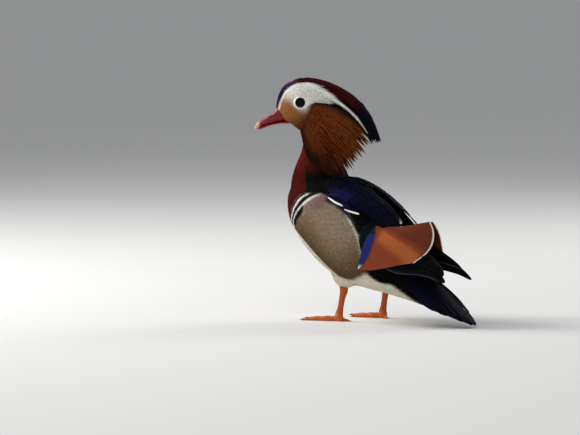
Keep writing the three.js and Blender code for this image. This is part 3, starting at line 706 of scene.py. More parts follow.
@dataclass
class RuffForm:
    """The fan of long feathers on each cheek, which spreads back and down over the neck."""

    skull: Skull
    tips: SmoothCurve = SmoothCurve(
        (-54, 12, -25), (-58.5, 16.5, -38.5), (-53.5, 21.5, -48), (-48, 24, -56), (-41, 25, -62),
        (-34, 25.5, -69.5), (-27, 26, -75.5), (-20, 26.5, -76), (-13.5, 27, -70), (-8, 27, -64.5),
        (-2.5, 25.5, -62), (3, 22, -59))
    roots: SmoothCurve = SmoothCurve(
        (1, 1.5), (2, -1.5), (3, -4.5), (4, -8), (5, -11.5), (6, -14.5), (7, -17.5), (8, -20), (9, -22),
        (10, -23.5), (11, -25), (12, -26.5))
    bend: float = 8  # how far the fan's upper feathers arch above a straight line
    flare: float = 6  # how far the ruff stands out from the neck
    depth: float = 3.5  # how far inside the cheek the feathers' lines begin
    spread: float = 0.8  # how quickly the feathers part from the cheek
    pad_reach: float = 0.36
    pad_heights: tuple[float, float] = (0.6, 12)

    def point(self, place: Array, far: Array, side: Side, lift: Array) -> Array:
        """A point of the fan.

        Args:
            place: The share round the fan, from the top down.
            far: The share out to the tips.
            side: The side.
            lift: The height over it.

        Returns:
            The point.
        """
        root, tip = self.roots(place), self.tips(place)
        arch = self.bend * np.sin(math.pi * far) * (1 - place)
        base = self.skull.side(root[..., 0], root[..., 1]) - self.depth
        out = (base + (tip[..., 1] - base) * far ** self.spread
               + self.flare * np.sin(math.pi * far ** self.spread))
        forward = root[..., 0] + (tip[..., 0] - root[..., 0]) * far
        up = root[..., 1] + (tip[..., 2] - root[..., 1]) * far + arch
        return HEAD.place(forward, side * (out + lift), up)

    def core(self, share: Array, angle: Array) -> Array:
        """The inner body between the two fans, behind the neck.

        Args:
            share: The share down it.
            angle: The angle from straight ahead.

        Returns:
            The point.
        """
        drop, close = eased(share), opening(share, 0.6)
        long, wide = (24 + 2 * drop) * close, (16 + 6 * drop) * close
        return HEAD.place(-14 - 10 * drop + long * np.cos(angle), wide * np.sin(angle), -2 - 56 * drop)

    def pad(self, side: Side, share: Array, angle: Array) -> Array:
        """The padding of one cheek.

        Args:
            side: The side.
            share: The share round the fan.
            angle: The angle out from the cheek.

        Returns:
            The point.
        """
        close = opening(share, 0.4)
        far = self.pad_reach * (1 + np.cos(angle) * close)
        height = np.where(np.sin(angle) > 0, *self.pad_heights) * np.sin(angle) * close
        return self.point(eased(share), far, side, height)


@dataclass
class WingForm:
    """The folded wing as a curved panel from the shoulder to the wing tip."""

    torso: Torso
    upper: SmoothCurve = SmoothCurve((10, -34, 154), (7, -8, 147), (5, 15, 135.5), (4, 40, 118), (5, 63, 100),
                                     (9, 90, 80), (16, 110, 62), (22.5, 126, 47.5))
    lower: SmoothCurve = SmoothCurve((40, -22, 134), (43, 5, 121), (45, 20, 108), (47, 32, 92), (45, 44, 70),
                                     (37, 62, 57.5), (27, 86, 54.5), (25, 108, 52), (23.5, 126, 45.5))
    bulge: SmoothLine = SmoothLine((0, 2), (0.3, 4), (0.5, 5), (0.65, 3.5), (0.85, 2), (1, 0.3))
    near: float = 0.04  # the step over which its direction is measured
    core_run: tuple[float, float] = (0.01, 0.69)
    core_wide: float = 0.43
    core_lift: float = 3.4
    core_depth: Rows = ((0.5, 5), (0.7, 2.5))

    def panel(self, along: Array, down: Array) -> Array:
        """The wing's bare panel.

        Args:
            along: The share along it.
            down: The share down it from the back.

        Returns:
            The point.
        """
        upper, lower = self.upper(along), self.lower(along)
        chord = lower - upper
        out = unit(np.stack([-chord[..., 2], np.zeros_like(chord[..., 0]), chord[..., 0]], axis=-1))
        crown = (self.bulge(along) * np.sin(math.pi * down))[..., None]
        return self.torso.outward(mix(upper, lower, down) + out * crown)

    def normal(self, along: Array, down: Array) -> Array:
        """The panel's outward direction.

        Args:
            along: The share along it.
            down: The share down it.

        Returns:
            The direction.
        """
        n = self.near
        run = self.panel(np.minimum(1, along + n), down) - self.panel(np.maximum(0, along - n), down)
        drop = self.panel(along, np.minimum(1, down + n)) - self.panel(along, np.maximum(0, down - n))
        normal = unit(np.cross(run, drop))
        return np.where((normal[..., :1] + normal[..., 2:]) < 0, -normal, normal)

    def point(self, along: Array, down: Array, lift: Array, side: Side) -> Array:
        """A point over the panel.

        Args:
            along: The share along it.
            down: The share down it.
            lift: The height over it.
            side: The side.

        Returns:
            The point.
        """
        along, down, lift = np.broadcast_arrays(np.asarray(along, float), down, lift)
        return (self.panel(along, down) + self.normal(along, down) * lift[..., None]) * (side, 1, 1)

    def core(self, side: Side, share: Array, angle: Array) -> Array:
        """The inner body of one wing.

        Args:
            side: The side.
            share: The share along it.
            angle: The angle out from the body.

        Returns:
            The point.
        """
        start, run = self.core_run
        along = start + run * eased(share)
        close = opening(share, 0.5)
        deep = straight_runs(along, self.core_depth)
        lift = np.where(np.sin(angle) > 0, self.core_lift, deep) * np.sin(angle) * close
        return self.point(along, 0.5 + self.core_wide * close * np.cos(angle), lift, side)


@dataclass(frozen=True)
class SailForm:
    """The sail: the great inner feather of each wing, drooped like a tent panel."""

    top: SmoothCurve = SmoothCurve((33, 43, 102), (26, 52, 101), (18, 66, 101.5), (9, 80, 104.5), (3, 91, 107))
    rear: SmoothCurve = SmoothCurve((3, 91, 107), (4, 96, 99), (6, 98, 91), (9.5, 97.5, 82), (16, 94.5, 74),
                                    (28, 89, 66))
    bottom: SmoothCurve = SmoothCurve((52, 35, 58.5), (50, 46, 57.5), (44, 62, 60), (36, 76, 63.5), (28, 89, 66))
    front: SmoothCurve = SmoothCurve((33, 43, 102), (43, 43, 95), (49.5, 41, 85), (52, 38, 72), (52, 35, 58.5))
    bulge: float = 4
    out: Triple = (0.8, 0.15, 0.55)

    def point(self, side: Side, back: Array, down: Array) -> Array:
        """A point of one sail.

        Args:
            side: The side.
            back: The share back.
            down: The share down.

        Returns:
            The point.
        """
        b, d = np.asarray(back)[..., None], np.asarray(down)[..., None]
        ruled = self.top(back) * (1 - d) + self.bottom(back) * d
        ruled = ruled + self.front(down) * (1 - b) + self.rear(down) * b
        for corner, share in ((self.top(0.0), (1 - b) * (1 - d)), (self.bottom(0.0), (1 - b) * d),
                              (self.top(1.0), b * (1 - d)), (self.bottom(1.0), b * d)):
            ruled = ruled - corner * share
        bow = unit(np.array(self.out)) * (self.bulge * np.sin(math.pi * b) * np.sin(math.pi * d))
        return (ruled + bow) * (side, 1, 1)


@dataclass(frozen=True)
class TailForm:
    """The tail as a low tent over its own line, from the rump down to the tips."""

    line: SmoothCurve = SmoothCurve((0, 34, 78), (0, 50, 67.5), (0, 80, 49.5), (0, 113, 25), (0, 145.5, 0.6))
    half_width: SmoothLine = SmoothLine((0, 7), (0.25, 14), (0.5, 24), (0.75, 27), (1, 18))
    tent: float = 8  # how much lower the edges lie than the middle
    flatten: float = 0.8  # how much less they do so at the tips
    up: Triple = (0, 0.56, 0.83)
    root_run: float = 0.55

    def point(self, along: Array, across: Array, lift: Array) -> Array:
        """A point of the tail.

        Args:
            along: The share along it.
            across: The share across, from -1 to 1.
            lift: The height over it.

        Returns:
            The point.
        """
        along, across, lift = np.broadcast_arrays(np.asarray(along, float), across, lift)
        point = self.line(along) + np.array((1.0, 0, 0)) * (self.half_width(along) * across)[..., None]
        drop = self.tent * across ** 2 * (1 - self.flatten * along ** 3)
        return point + np.array(self.up) * (lift - drop)[..., None]

    def root(self, share: Array, angle: Array) -> Array:
        """The tail's root, inside the skin."""
        close = opening(share, 0.6)
        return self.point(self.root_run * eased(share), 0.75 * np.cos(angle) * close, 2.2 * np.sin(angle) * close)


@dataclass
class Markings:
    """Where each colour lies, for skin and coat alike, as a function of place.

    The body's lines give a place on its length by height, or a height by place. The head's
    give a height by the place forward, except the forehead's, which gives the reverse.
    """

    bar_front: SmoothLine = SmoothLine((96, -63), (104, -60.7), (112, -57.2), (122, -50.4), (129.5, -43.6),
                                       (134, -36))
    flank_low: SmoothLine = SmoothLine((-60, 98), (-40, 84), (-20, 66), (-8, 53), (10, 45), (30, 50), (45, 58))
    flank_top: SmoothLine = SmoothLine((-45, 140), (-30, 136), (-18, 131), (0, 124), (16, 112), (27, 99),
                                       (38, 78))
    flank_rear: SmoothLine = SmoothLine((50, 42), (64, 39), (78, 37), (88, 33.7), (99, 27), (112, 15), (122, 3))
    rump_low: SmoothLine = SmoothLine((30, 62), (45, 56), (59, 46), (75, 32), (90, 19), (104, 9))
    hind_neck: Rows = ((133, -36), (139, -38), (146, -46), (156, -52), (167, -57), (177, -60), (190, -54),
                       (210, -50))
    crown_edge: SmoothLine = SmoothLine((-58.6, -29.4), (-52, -19.2), (-47.8, -13), (-37.9, -3.5), (-28.1, 4.4),
                                        (-23.2, 8.4), (-13.3, 16.5), (-8.4, 19.7), (-2.5, 22.2), (3.4, 23.3),
                                        (11.3, 23.3), (18.2, 21.6), (24.1, 18.2), (29, 13.3), (32.4, 7.4),
                                        (35.9, -2.5), (38, -14))
    band_low: SmoothLine = SmoothLine((-58, -30.4), (-51.7, -21.4), (-45.8, -14.7), (-39.9, -8.4), (-34, -3.2),
                                      (-29, -0.5), (-24.2, 1), (-16.3, 0.7), (-8.4, 1), (-0.5, 1.3),
                                      (5.4, -0.5), (12, -5), (20, -8))
    green_low: SmoothLine = SmoothLine((-51.7, -40.8), (-50.2, -32.5), (-47.8, -24.6), (-43.8, -17.7),
                                       (-37.9, -11.3), (-32, -6.4), (-24.2, -1.7), (-14.3, 0))
    lores_top: SmoothLine = SmoothLine((0, -4), (5, -1), (12, 3), (20, 10), (30, 15), (38, 17))
    forehead: SmoothLine = SmoothLine((-14, 38), (-2.5, 35.9), (7.4, 32.4), (13.3, 29), (18.2, 24.1), (22, 17))
    breast_low: float = 99  # where maroon and bars begin
    bars_top: float = 135
    bar_width: float = 4.7  # of each bar at their lower ends
    bar_growth: float = 0.3  # how much wider they are for each millimetre up from bars_grow
    bars_grow: float = 104.8
    tuft: tuple[float, float] = (53, 53)  # the dark tuft at the end of the flank: back and up
    white_ring: float = 7.4  # the radius of the white round the eye

    def body(self, points: Array) -> Array:
        """The colours of body and neck.

        Args:
            points: The places.

        Returns:
            A colour for each.
        """
        x, y, z = np.moveaxis(points, -1, 0)
        aside = np.abs(x)
        width = self.bar_width + self.bar_growth * np.clip(z - self.bars_grow, 0, 30)
        bar = (y - self.bar_front(z)) / width
        behind = ramp(bar, 1.5, 0.3)
        low, top, rear = self.flank_low(y), self.flank_top(y), self.flank_rear(z)
        flank = behind * ramp(z, low, 3) * (1 - ramp(y, rear, 2))
        edge = behind * ramp(z, low + 8, 6)
        breast = ramp(z, self.breast_low, 5)
        bars = breast * (1 - ramp(z, self.bars_top, 4))
        black = 1.22 + 1.25 * (1 - ramp(z, 117, 14))
        shoulder = ramp(bar, black + 0.1, 0.3) * ramp(z, 117, 8) * (1 - ramp(y, -14, 6))
        back, up = self.tuft
        tuft = np.hypot((y - back) / 15, (z - up + 0.3 * (y - back)) / 10)
        hind = ramp(y + 0.9 * np.clip(aside - 20, 0, 30) * 0.4, straight_runs(z, self.hind_neck), 3)
        violet = ramp(y, -16, 5) * (1 - ramp(y, 14, 8)) * ramp(z, top - 4, 4) * (1 - ramp(z, top + 12, 6))
        return layered(
            Dye.CREAM, points.shape,
            (Dye.BUFF, flank),
            # Greyer towards the top of the flank and darker brown towards the bottom: partly its own colour, partly
            # painted shade from light falling from above
            (Dye.TAUPE, flank * ramp(z, low + 34, 30) * 0.6),
            (Dye.BROWN, flank * (1 - ramp(z, low + 22, 66)) * 0.85),
            # The flank's long rear feathers end in a white and a black edge
            (Dye.CREAM, edge * ramp(y, rear - 3.2, 1) * (1 - ramp(y, rear - 1.2, 1))),
            (Dye.BLACK, edge * ramp(y, rear - 1.2, 1) * (1 - ramp(y, rear + 1.5, 2))),
            # Maroon breast and neck, with two white bars on black
            (Dye.MAROON, (1 - ramp(bar, -0.5, 0.2)) * breast),
            (Dye.BLACK, bars * ramp(bar, -0.5, 0.15) * (1 - ramp(bar, black, 0.3))),
            *((Dye.WHITE, bars * (1 - ramp(np.abs(bar - middle), 0.16, 0.12))) for middle in (0.0, 1.0)),
            (Dye.PINK, shoulder * (1 - ramp(z, top + 2, 3))),
            # Dark mantle, hind neck, back and rump, with the violet shoulder
            (Dye.MANTLE, ramp(z, top + 1, 3) * ramp(y, -40, 4)),
            (Dye.OLIVE, ramp(y, rear + 2, 3) * ramp(z, self.rump_low(y), 4)),
            (Dye.BLACK, (1 - ramp(tuft, 0.95, 0.3)) * ramp(aside, 20, 6)),
            (Dye.MANTLE, hind * ramp(z, 133, 4)),
            (Dye.VIOLET, violet * ramp(aside, 27, 8)))

    def head(self, points: Array) -> Array:
        """The colours of head and crest.

        Args:
            points: The places.

        Returns:
            A colour for each.
        """
        forward, left, up = HEAD.local(points)
        crown_edge = self.crown_edge(forward)
        lores = ramp(forward, 0, 8) * (1 - ramp(up - self.lores_top(forward), -7, 16))
        below = 1 - ramp(up, self.band_low(forward), 1)
        behind = 1 - ramp(forward + 0.25 * (up + 10), 6, 9)
        near = np.hypot(forward - EYE.forward, up - EYE.up)
        stripe = np.exp(-((up - 1.5 - 0.1 * forward) / 1.6) ** 2)
        stripe = stripe * ramp(forward, 2, 6) * (1 - ramp(forward, 8, 4))
        crown = ramp(up, crown_edge, 1)
        wide = 1.6 + 4 * (1 - ramp(forward, -25, 25))
        rim = crown * (1 - ramp(up, crown_edge + wide, 1.4))
        return layered(
            Dye.WHITE, points.shape,
            (Dye.OCHRE, lores * 0.95),
            (Dye.CHEEK, (1 - ramp(up + 0.5 * forward, -6, 20)) * ramp(forward, 4, 8) * 0.8),
            (Dye.CHEEK, below * behind),
            (Dye.THROAT, (1 - ramp(up, -24, 5)) * (1 - ramp(forward, 22, 6)) * ramp(forward, -36, 6)),
            (Dye.GREEN, below * ramp(up, self.green_low(forward), 1) * (1 - ramp(forward, -12, 4))),
            (Dye.GREEN, below * (1 - ramp(forward, -54, 4))),
            # White round the eye and behind it, and a thin line along the forehead
            (Dye.WHITE, np.maximum(1 - ramp(near, self.white_ring, 1.6), stripe) * ramp(np.abs(left), 8, 4)),
            (Dye.WHITE, ramp(forward, self.forehead(up) - 2.4, 0.8) * ramp(up, -7, 5)),
            (Dye.CROWN, crown * (1 - ramp(forward, 25, 14))),
            (Dye.PURPLE, crown * ramp(forward, 20, 12)),
            (Dye.NAPE, crown * (1 - ramp(forward + 0.7 * up, -47, 18))),
            (Dye.NAPE, rim * 0.9),
            (Dye.NAPE, 1 - ramp(forward, -60, 2.5)),
            (Dye.BLACK, ramp(forward + 0.35 * (up + 10), 37.2, 1.2) * 0.7))

    @staticmethod
    def head_low(forward: Array) -> Array:
        """How high the head's own markings begin."""
        return -34 + 0.35 * forward

    def at(self, points: Array) -> Array:
        """The colours of skin and coat.

        Args:
            points: The places.

        Returns:
            A colour for each.
        """
        forward, _, up = HEAD.local(points)
        # The front of the neck warms towards the chestnut of the ruff
        throat = ramp(up, -62, 30) * ramp(forward, -16, 10)
        neck = mix(self.body(points), Dye.THROAT.colour, throat * 0.85)
        return mix(neck, self.head(points), ramp(up, self.head_low(forward), 5))


MARKINGS = Markings()


@dataclass(frozen=True)
class Vane:
    """The unit shape of a feather: a closed leaf with stations along it.

    Attributes:
        stations: The share along and the share of the full width at each band.
        around: The number of sides of its section.
        crown: How much higher its middle stands than its edges, as a share of its half width.
    """

    stations: tuple[tuple[float, float], ...]
    around: int = 4
    crown: float = 0.25

    def shape(self) -> tuple[Array, Array, Array, list[tuple[int, ...]]]:
        """The leaf's vertices and faces.

        Returns:
            The shares along, across and through of each vertex, and the faces.
        """
        last = len(self.stations) - 1
        form, bands, angle = ball(self.around, last)
        at = bands.astype(int)
        along, width = np.array(self.stations).T
        open_ring = (at > 0) & (at < last)
        form.verts.index_update()
        faces = [tuple(v.index for v in f.verts) for f in form.faces]
        form.free()
        return (along[at], np.where(open_ring, np.cos(angle) * width[at], 0),
                np.where(open_ring, np.sin(angle), 0), faces)


BODY_VANE = Vane(((0, 0), (0.2, 0.7), (0.5, 1), (0.8, 0.56), (1, 0)), crown=0.1)
FINE_VANE = Vane(((0, 0), (0.12, 0.6), (0.26, 0.82), (0.4, 0.96), (0.54, 1), (0.68, 0.86), (0.84, 0.5), (1, 0)),
                 crown=0.1)
LONG_VANE = Vane(((0, 0), (0.08, 0.5), (0.25, 0.8), (0.5, 1), (0.72, 0.98), (0.88, 0.75), (0.96, 0.42), (1, 0)), 6)
LANCE = Vane(((0, 0), (0.1, 0.6), (0.3, 0.95), (0.6, 1), (0.82, 0.8), (0.94, 0.42), (1, 0)), 8, 0.5)
QUILL = Vane(((0, 0), (0.05, 0.45), (0.15, 0.7), (0.3, 0.88), (0.45, 0.97), (0.6, 1), (0.74, 0.98),
              (0.85, 0.88), (0.93, 0.68), (0.98, 0.36), (1, 0)), 8, 0.12)


@dataclass(frozen=True)
class Tints:
    """The colours within one feather, over its ground colour.

    Attributes:
        edge: The colour of its outer edge, if it has its own.
        tip: The colour of its tip, if it has its own.
        tip_from: Where along it the tip's colour begins.
        vary: How much one feather's brightness differs from the next.
        root_painted_shade: How much painted shade darkens its covered root.
    """

    edge: Optional[Dye] = None
    tip: Optional[Dye] = None
    tip_from: float = 0.86
    vary: float = 0.08
    root_painted_shade: float = 0.12


@dataclass
class Unwrap:
    """A tube unwrap of the whole skin, along a spine from the tail to the bill."""

    spine: SmoothCurve = SmoothCurve((0, 108, 22), (0, 60, 52), (0, 10, 80), (0, -40, 105), (0, -49, 140),
                                     (3, -51, 175), (8, -57, 205), (9.6, -57.8, 225), (33, -90, 210))
    length: float = 420  # about how long it is
    patch: float = 0.003  # the size of one feather's patch
    steps: int = 90
    batch: int = 4000  # how many places are worked out at once
    margin: float = 0.002

    def at(self, points: Array) -> Array:
        """Finds places on the unwrap.

        Args:
            points: Points near the skin.

        Returns:
            The place of each, from 0 to 1 each way.
        """
        shares = np.linspace(0, 1, self.steps)
        line = self.spine(shares)
        run = unit(np.gradient(line, axis=0))
        found = np.zeros((len(points), 2))
        for start in range(0, len(points), self.batch):
            part = points[start:start + self.batch]
            near = np.argmin(((part[:, None, :] - line[None]) ** 2).sum(-1), axis=1)
            off = part - line[near]
            left = unit(np.cross(run[near], np.tile((0.0, 0.0, 1.0), (len(part), 1))))
            high = np.cross(left, run[near])
            turn = np.arctan2((off * left).sum(-1), (off * high).sum(-1)) / (2 * math.pi) + 0.5
            fine = shares[near] + (off * run[near]).sum(-1) / self.length
            found[start:start + self.batch] = np.stack([turn, fine], axis=-1)
        return np.clip(found, self.margin, 1 - self.margin)


UNWRAP = Unwrap()


class Plumes:
    """Feathers, each a closed thin form, gathered into one mesh piece."""

    def __init__(self, name: str, seed: int) -> None:
        """Starts an empty piece with its own seeded draw."""
        self.name = name
        self.draw = np.random.default_rng(seed)
        self.points: list[Array] = []
        self.colours: list[Array] = []
        self.patches: list[Array] = []
        self.lays: list[Array] = []
        self.faces: list[tuple[int, ...]] = []
        self.count = 0

    def add(self, vane: Vane, paths: Array, normals: Array, half_width: Array, thickness: float,
            tints: Tints = Tints(), ground: Optional[Array] = None, mark: Optional[Array] = None) -> None:
        """Lays a batch of feathers of one unit shape.

        Args:
            vane: The unit shape.
            paths: The feathers' middle lines, as feathers by points by 3, in the bird's millimetres.
            normals: The outward directions along them, of the same shape.
            half_width: Each feather's half width.
            thickness: The thickness of the vane at its middle.
            tints: The colours within a feather.
            ground: A colour for each feather, or None to take the markings at each vertex.
            mark: How strongly each feather shows its finish's streak, or None for a random number.
        """
        along, across, through, faces = vane.shape()
        (number, knots), size = paths.shape[:2], len(along)
        at = along * (knots - 1)
        low = np.minimum(at.astype(int), knots - 2)
        t = (at - low)[None, :, None]
        middle, slope, out = (values[:, low] * (1 - t) + values[:, low + 1] * t
                              for values in (paths, np.gradient(paths, axis=1), normals))
        run = unit(slope)
        out = unit(out - run * (out * run).sum(-1, keepdims=True))
        half = np.broadcast_to(half_width, (number,))[:, None, None]
        rise = vane.crown * half * (1 - np.abs(across))[None, :, None]
        rise = rise * np.sin(math.pi * np.clip(along, 0.02, 0.98))[None, :, None] ** 0.5
        points = middle + np.cross(run, out) * across[None, :, None] * half
        points = points + out * (rise + 0.5 * thickness * through[None, :, None])
        if ground is None:
            colours = MARKINGS.at(points.reshape(-1, 3)).reshape(points.shape)
        else:
            colours = np.broadcast_to(ground[:, None, :], points.shape)
        for dye, share in ((tints.edge, ramp(across, 0.8, 0.3)), (tints.tip, ramp(along, tints.tip_from, 0.1))):
            if dye:
                colours = mix(colours, dye.colour, np.broadcast_to(share, (number, size)))
        bright = 1 + tints.vary * self.draw.uniform(-1, 1, (number, 1, 1))
        # Painted shade: each feather is darker towards its covered root
        shade = 1 - tints.root_painted_shade * (1 - np.clip(along / 0.4, 0, 1))[None, :, None]
        chance = self.draw.uniform(0, 1, (number, 1))
        strength = np.broadcast_to(chance if mark is None else mark[:, None], (number, size))
        patch = UNWRAP.at(paths[:, 0])[:, None, :] + UNWRAP.patch * np.stack([0.5 * across, along - 0.5], -1)[None]
        flat = np.broadcast_to(np.stack([across, along], -1), (number, size, 2))
        self.points.append(points.reshape(-1, 3))
        self.colours.append((colours * bright * shade).reshape(-1, 3))
        self.patches.append(patch.reshape(-1, 2))
        self.lays.append(np.concatenate([flat, strength[..., None]], -1).reshape(-1, 3))
        for base in range(self.count, self.count + number * size, size):
            self.faces += [tuple(base + k for k in f) for f in faces]
        self.count += number * size

    def build(self, finish: "Finish", slot: Slot, *replaces: str) -> Piece:
        """Makes the piece.

        Args:
            finish: Its finish.
            slot: The record's material slot.
            replaces: The CAD nodes that it stands for.

        Returns:
            The linked object, riding on the body.
        """
        mesh = bpy.data.meshes.new(self.name)
        mesh.from_pydata(to_scene(np.concatenate(self.points)), [], self.faces)
        paint(mesh, np.concatenate(self.colours))
        store_lay(mesh, np.concatenate(self.lays))
        corners = np.zeros(len(mesh.loops), np.int32)
        mesh.loops.foreach_get("vertex_index", corners)
        patches = np.clip(np.concatenate(self.patches)[corners], 0, 1)
        mesh.uv_layers.new(name="OFBake").data.foreach_set("uv", patches.astype(np.float32).ravel())
        mesh.shade_smooth()
        return settle(linked(self.name, mesh), finish, slot, *replaces)


def settle(piece: Piece, finish: "Finish", slot: Slot, *replaces: str) -> Piece:
    """Gives a piece its finish and its body.

    Args:
        piece: The piece.
        finish: Its finish.
        slot: The record's material slot; not used.
        replaces: The CAD nodes that it stands for.

    Returns:
        The piece.
    """
    piece.data.materials.clear()
    piece.data.materials.append(finish.material())
    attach(piece, BODY)
    if replaces:
        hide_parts(*replaces)
    piece.data.calc_loop_triangles()
    LOG.info("%s: %d triangles", piece.name, len(piece.data.loop_triangles))
    return piece


class Shading:
    """A material in the making."""

    def __init__(self, name: str) -> None:
        """Starts a material with its surface shader."""
        self.made = bpy.data.materials.new(name)
        self.made.use_nodes = True
        self.tree = self.made.node_tree
        self.shader = self.tree.nodes["Principled BSDF"]

    def add(self, kind: str, sources: dict, values: Optional[dict] = None, **options: str) -> bpy.types.Node:
        """Adds a node.

        Args:
            kind: Its type, without the first word.
            sources: The sockets that its inputs read.
            values: The values that its other inputs hold.
            options: The node's own settings.

        Returns:
            The node.
        """
        node = self.tree.nodes.new(f"ShaderNode{kind}")
        for name, option in options.items():
            setattr(node, name, option)
        self.fill(node, sources, values or {})
        return node

    def fill(self, node: bpy.types.Node, sources: dict, values: dict) -> None:
        """Links a node's inputs to their sources, and sets the values that its others hold."""
        for name, source in sources.items():
            self.tree.links.new(source, node.inputs[name])
        for name, value in values.items():
            node.inputs[name].default_value = value

    def read(self, name: str, output: str) -> Socket:
        """The socket that gives a stored attribute of the mesh."""
        return self.add("Attribute", {}, attribute_name=name).outputs[output]

    def level(self, value: Socket, low: float, high: float, start: float, end: float) -> Socket:
        """Turns a value between low and high into one between start and end.

        Args:
            value: The socket that it reads.
            low: The value that gives start.
            high: The value that gives end.
            start: The result at low.
            end: The result at high.

        Returns:
            The result's socket.
        """
        return self.add("MapRange", {"Value": value}, {"From Min": low, "From Max": high, "To Min": start,
                                                       "To Max": end}).outputs["Result"]

    def scaled(self, colour: Socket, value: Socket, low: float, high: float, start: float, end: float) -> Socket:
        """A colour made lighter or darker by a value, levelled as above.

        Args:
            colour: The colour's socket.
            value: The socket that it reads.
            low: The value that gives start.
            high: The value that gives end.
            start: The factor at low.
            end: The factor at high.

        Returns:
            The result's socket.
        """
        factor = self.level(value, low, high, start, end)
        return self.add("VectorMath", {0: colour, "Scale": factor}, operation="SCALE").outputs["Vector"]

    def finished(self, colour: Socket, height: Socket, depth: float, **values: float) -> bpy.types.Material:
        """Gives the surface its colour, its relief and its constants.

        Args:
            colour: The colour's socket.
            height: The relief's socket.
            depth: The relief's height in metres.
            values: The constants, with _ for the blanks of their names.

        Returns:
            The material.
        """
        bump = self.add("Bump", {"Height": height}, {"Distance": depth})
        self.fill(self.shader, {"Base Color": colour, "Normal": bump.outputs["Normal"]},
                  {name.replace("_", " "): value for name, value in values.items()})
        return self.made


class Finish:
    """A finish that makes its material once."""

    name: str

    def material(self) -> bpy.types.Material:
        """The finish's material, made at its first use."""
        return bpy.data.materials.get(self.name) or self.make()

    def make(self) -> bpy.types.Material:
        """Makes the material."""
        raise NotImplementedError


@dataclass(frozen=True)
class PlumageFinish(Finish):
    """Feathers: the painted markings, mottled a little, with fine barbs raised across the vanes."""

    name: str = "plumage"
    roughness: float = 0.7
    specular: float = 0.03
    mottle: float = 0.1  # how far the mottling goes
    mottle_scale: float = 420
    barb_height: float = 0.00006  # how high the barbs stand, in metres
    barb_scale: float = 1100
    bars: float = 0.0  # how dark the fine wavy bars are
    bar_scale: float = 230
    streak: Optional[Dye] = None
    # The darker edges are painted shade, for the gaps between feathers
    rim: float = 0.0  # how much darker a feather's edges are

    def make(self) -> bpy.types.Material:
        """Makes the material."""
        s = Shading(self.name)
        place = s.add("TexCoord", {}).outputs["Object"]
        parts = s.add("SeparateXYZ", {"Vector": s.read("lay", "Vector")})
        across = s.add("Math", {0: parts.outputs["X"]}, operation="ABSOLUTE").outputs["Value"]
        mottle, barbs = (s.add("TexNoise", {"Vector": place}, {"Scale": scale, "Detail": detail}).outputs["Fac"]
                         for scale, detail in ((self.mottle_scale, 3), (self.barb_scale, 2)))
        colour = s.scaled(s.read("tint", "Color"), mottle, 0.3, 0.7, 1 - self.mottle, 1 + self.mottle)
        if self.bars:
            wave = s.add("TexWave", {"Vector": place}, {"Scale": self.bar_scale, "Distortion": 4, "Detail": 2},
                         bands_direction="Z")
            colour = s.scaled(colour, wave.outputs["Fac"], 0.1, 0.7, 1 - self.bars, 1)
        # Painted shade along each feather's edges
        if self.rim:
            colour = s.scaled(colour, across, 0.45, 0.9, 1, 1 - self.rim)
        if self.streak:
            shaft = s.level(across, 0.05, 0.2, 1, 0)
            share = s.add("Math", {0: shaft, 1: parts.outputs["Z"]}, operation="MULTIPLY")
            blend = s.add("Mix", {}, data_type="RGBA")
            factor, ground, streak = (socket for socket in blend.inputs if socket.enabled)
            s.tree.links.new(share.outputs["Value"], factor)
            s.tree.links.new(colour, ground)
            streak.default_value = (*self.streak.colour, 1)
            colour = next(socket for socket in blend.outputs if socket.enabled)
        return s.finished(colour, barbs, self.barb_height, Roughness=self.roughness,
                          Specular_IOR_Level=self.specular)


@dataclass(frozen=True)
class SailFinish(Finish):
    """The sail's smooth vane, with fine barbs that run down and back from its shaft."""

    name: str = "sail_vane"
    roughness: float = 0.55
    specular: float = 0.2
    barb_height: float = 0.0001
    barb_scale: float = 22
    barb_turn: float = math.radians(58)

    def make(self) -> bpy.types.Material:
        """Makes the material."""
        s = Shading(self.name)
        turn = s.add("Mapping", {"Vector": s.read("lay", "Vector")}, {"Rotation": (0, 0, self.barb_turn)})
        barbs = s.add("TexWave", {"Vector": turn.outputs["Vector"]},
                      {"Scale": self.barb_scale, "Distortion": 1.5, "Detail": 2}).outputs["Fac"]
        colour = s.scaled(s.read("tint", "Color"), barbs, 0, 1, 0.9, 1.06)
        return s.finished(colour, barbs, self.barb_height, Roughness=self.roughness,
                          Specular_IOR_Level=self.specular)


@dataclass(frozen=True)
class HardFinish(Finish):
    """Horn, bill and leg skin: the painted colours, with a fine pitting or scaling."""

    name: str = "horn"
    roughness: float = 0.35
    coat: float = 0.2  # how much of a clear coat it has
    coat_ior: float = 1.5
    coat_roughness: float = 0.15
    specular: float = 0.5
    grain: float = 900
    height: float = 0.00008  # how deep the pitting is, in metres

    def make(self) -> bpy.types.Material:
        """Makes the material."""
        s = Shading(self.name)
        place = s.add("TexCoord", {}).outputs["Object"]
        noise = s.add("TexNoise", {"Vector": place}, {"Scale": self.grain}).outputs["Fac"]
        colour = s.scaled(s.read("tint", "Color"), noise, 0, 1, 0.82, 1.15)
        return s.finished(colour, noise, self.height, Roughness=self.roughness, Coat_Weight=self.coat,
                          Coat_IOR=self.coat_ior, Coat_Roughness=min(self.roughness, self.coat_roughness),
                          Specular_IOR_Level=self.specular)


SOFT_PLUMAGE = PlumageFinish()
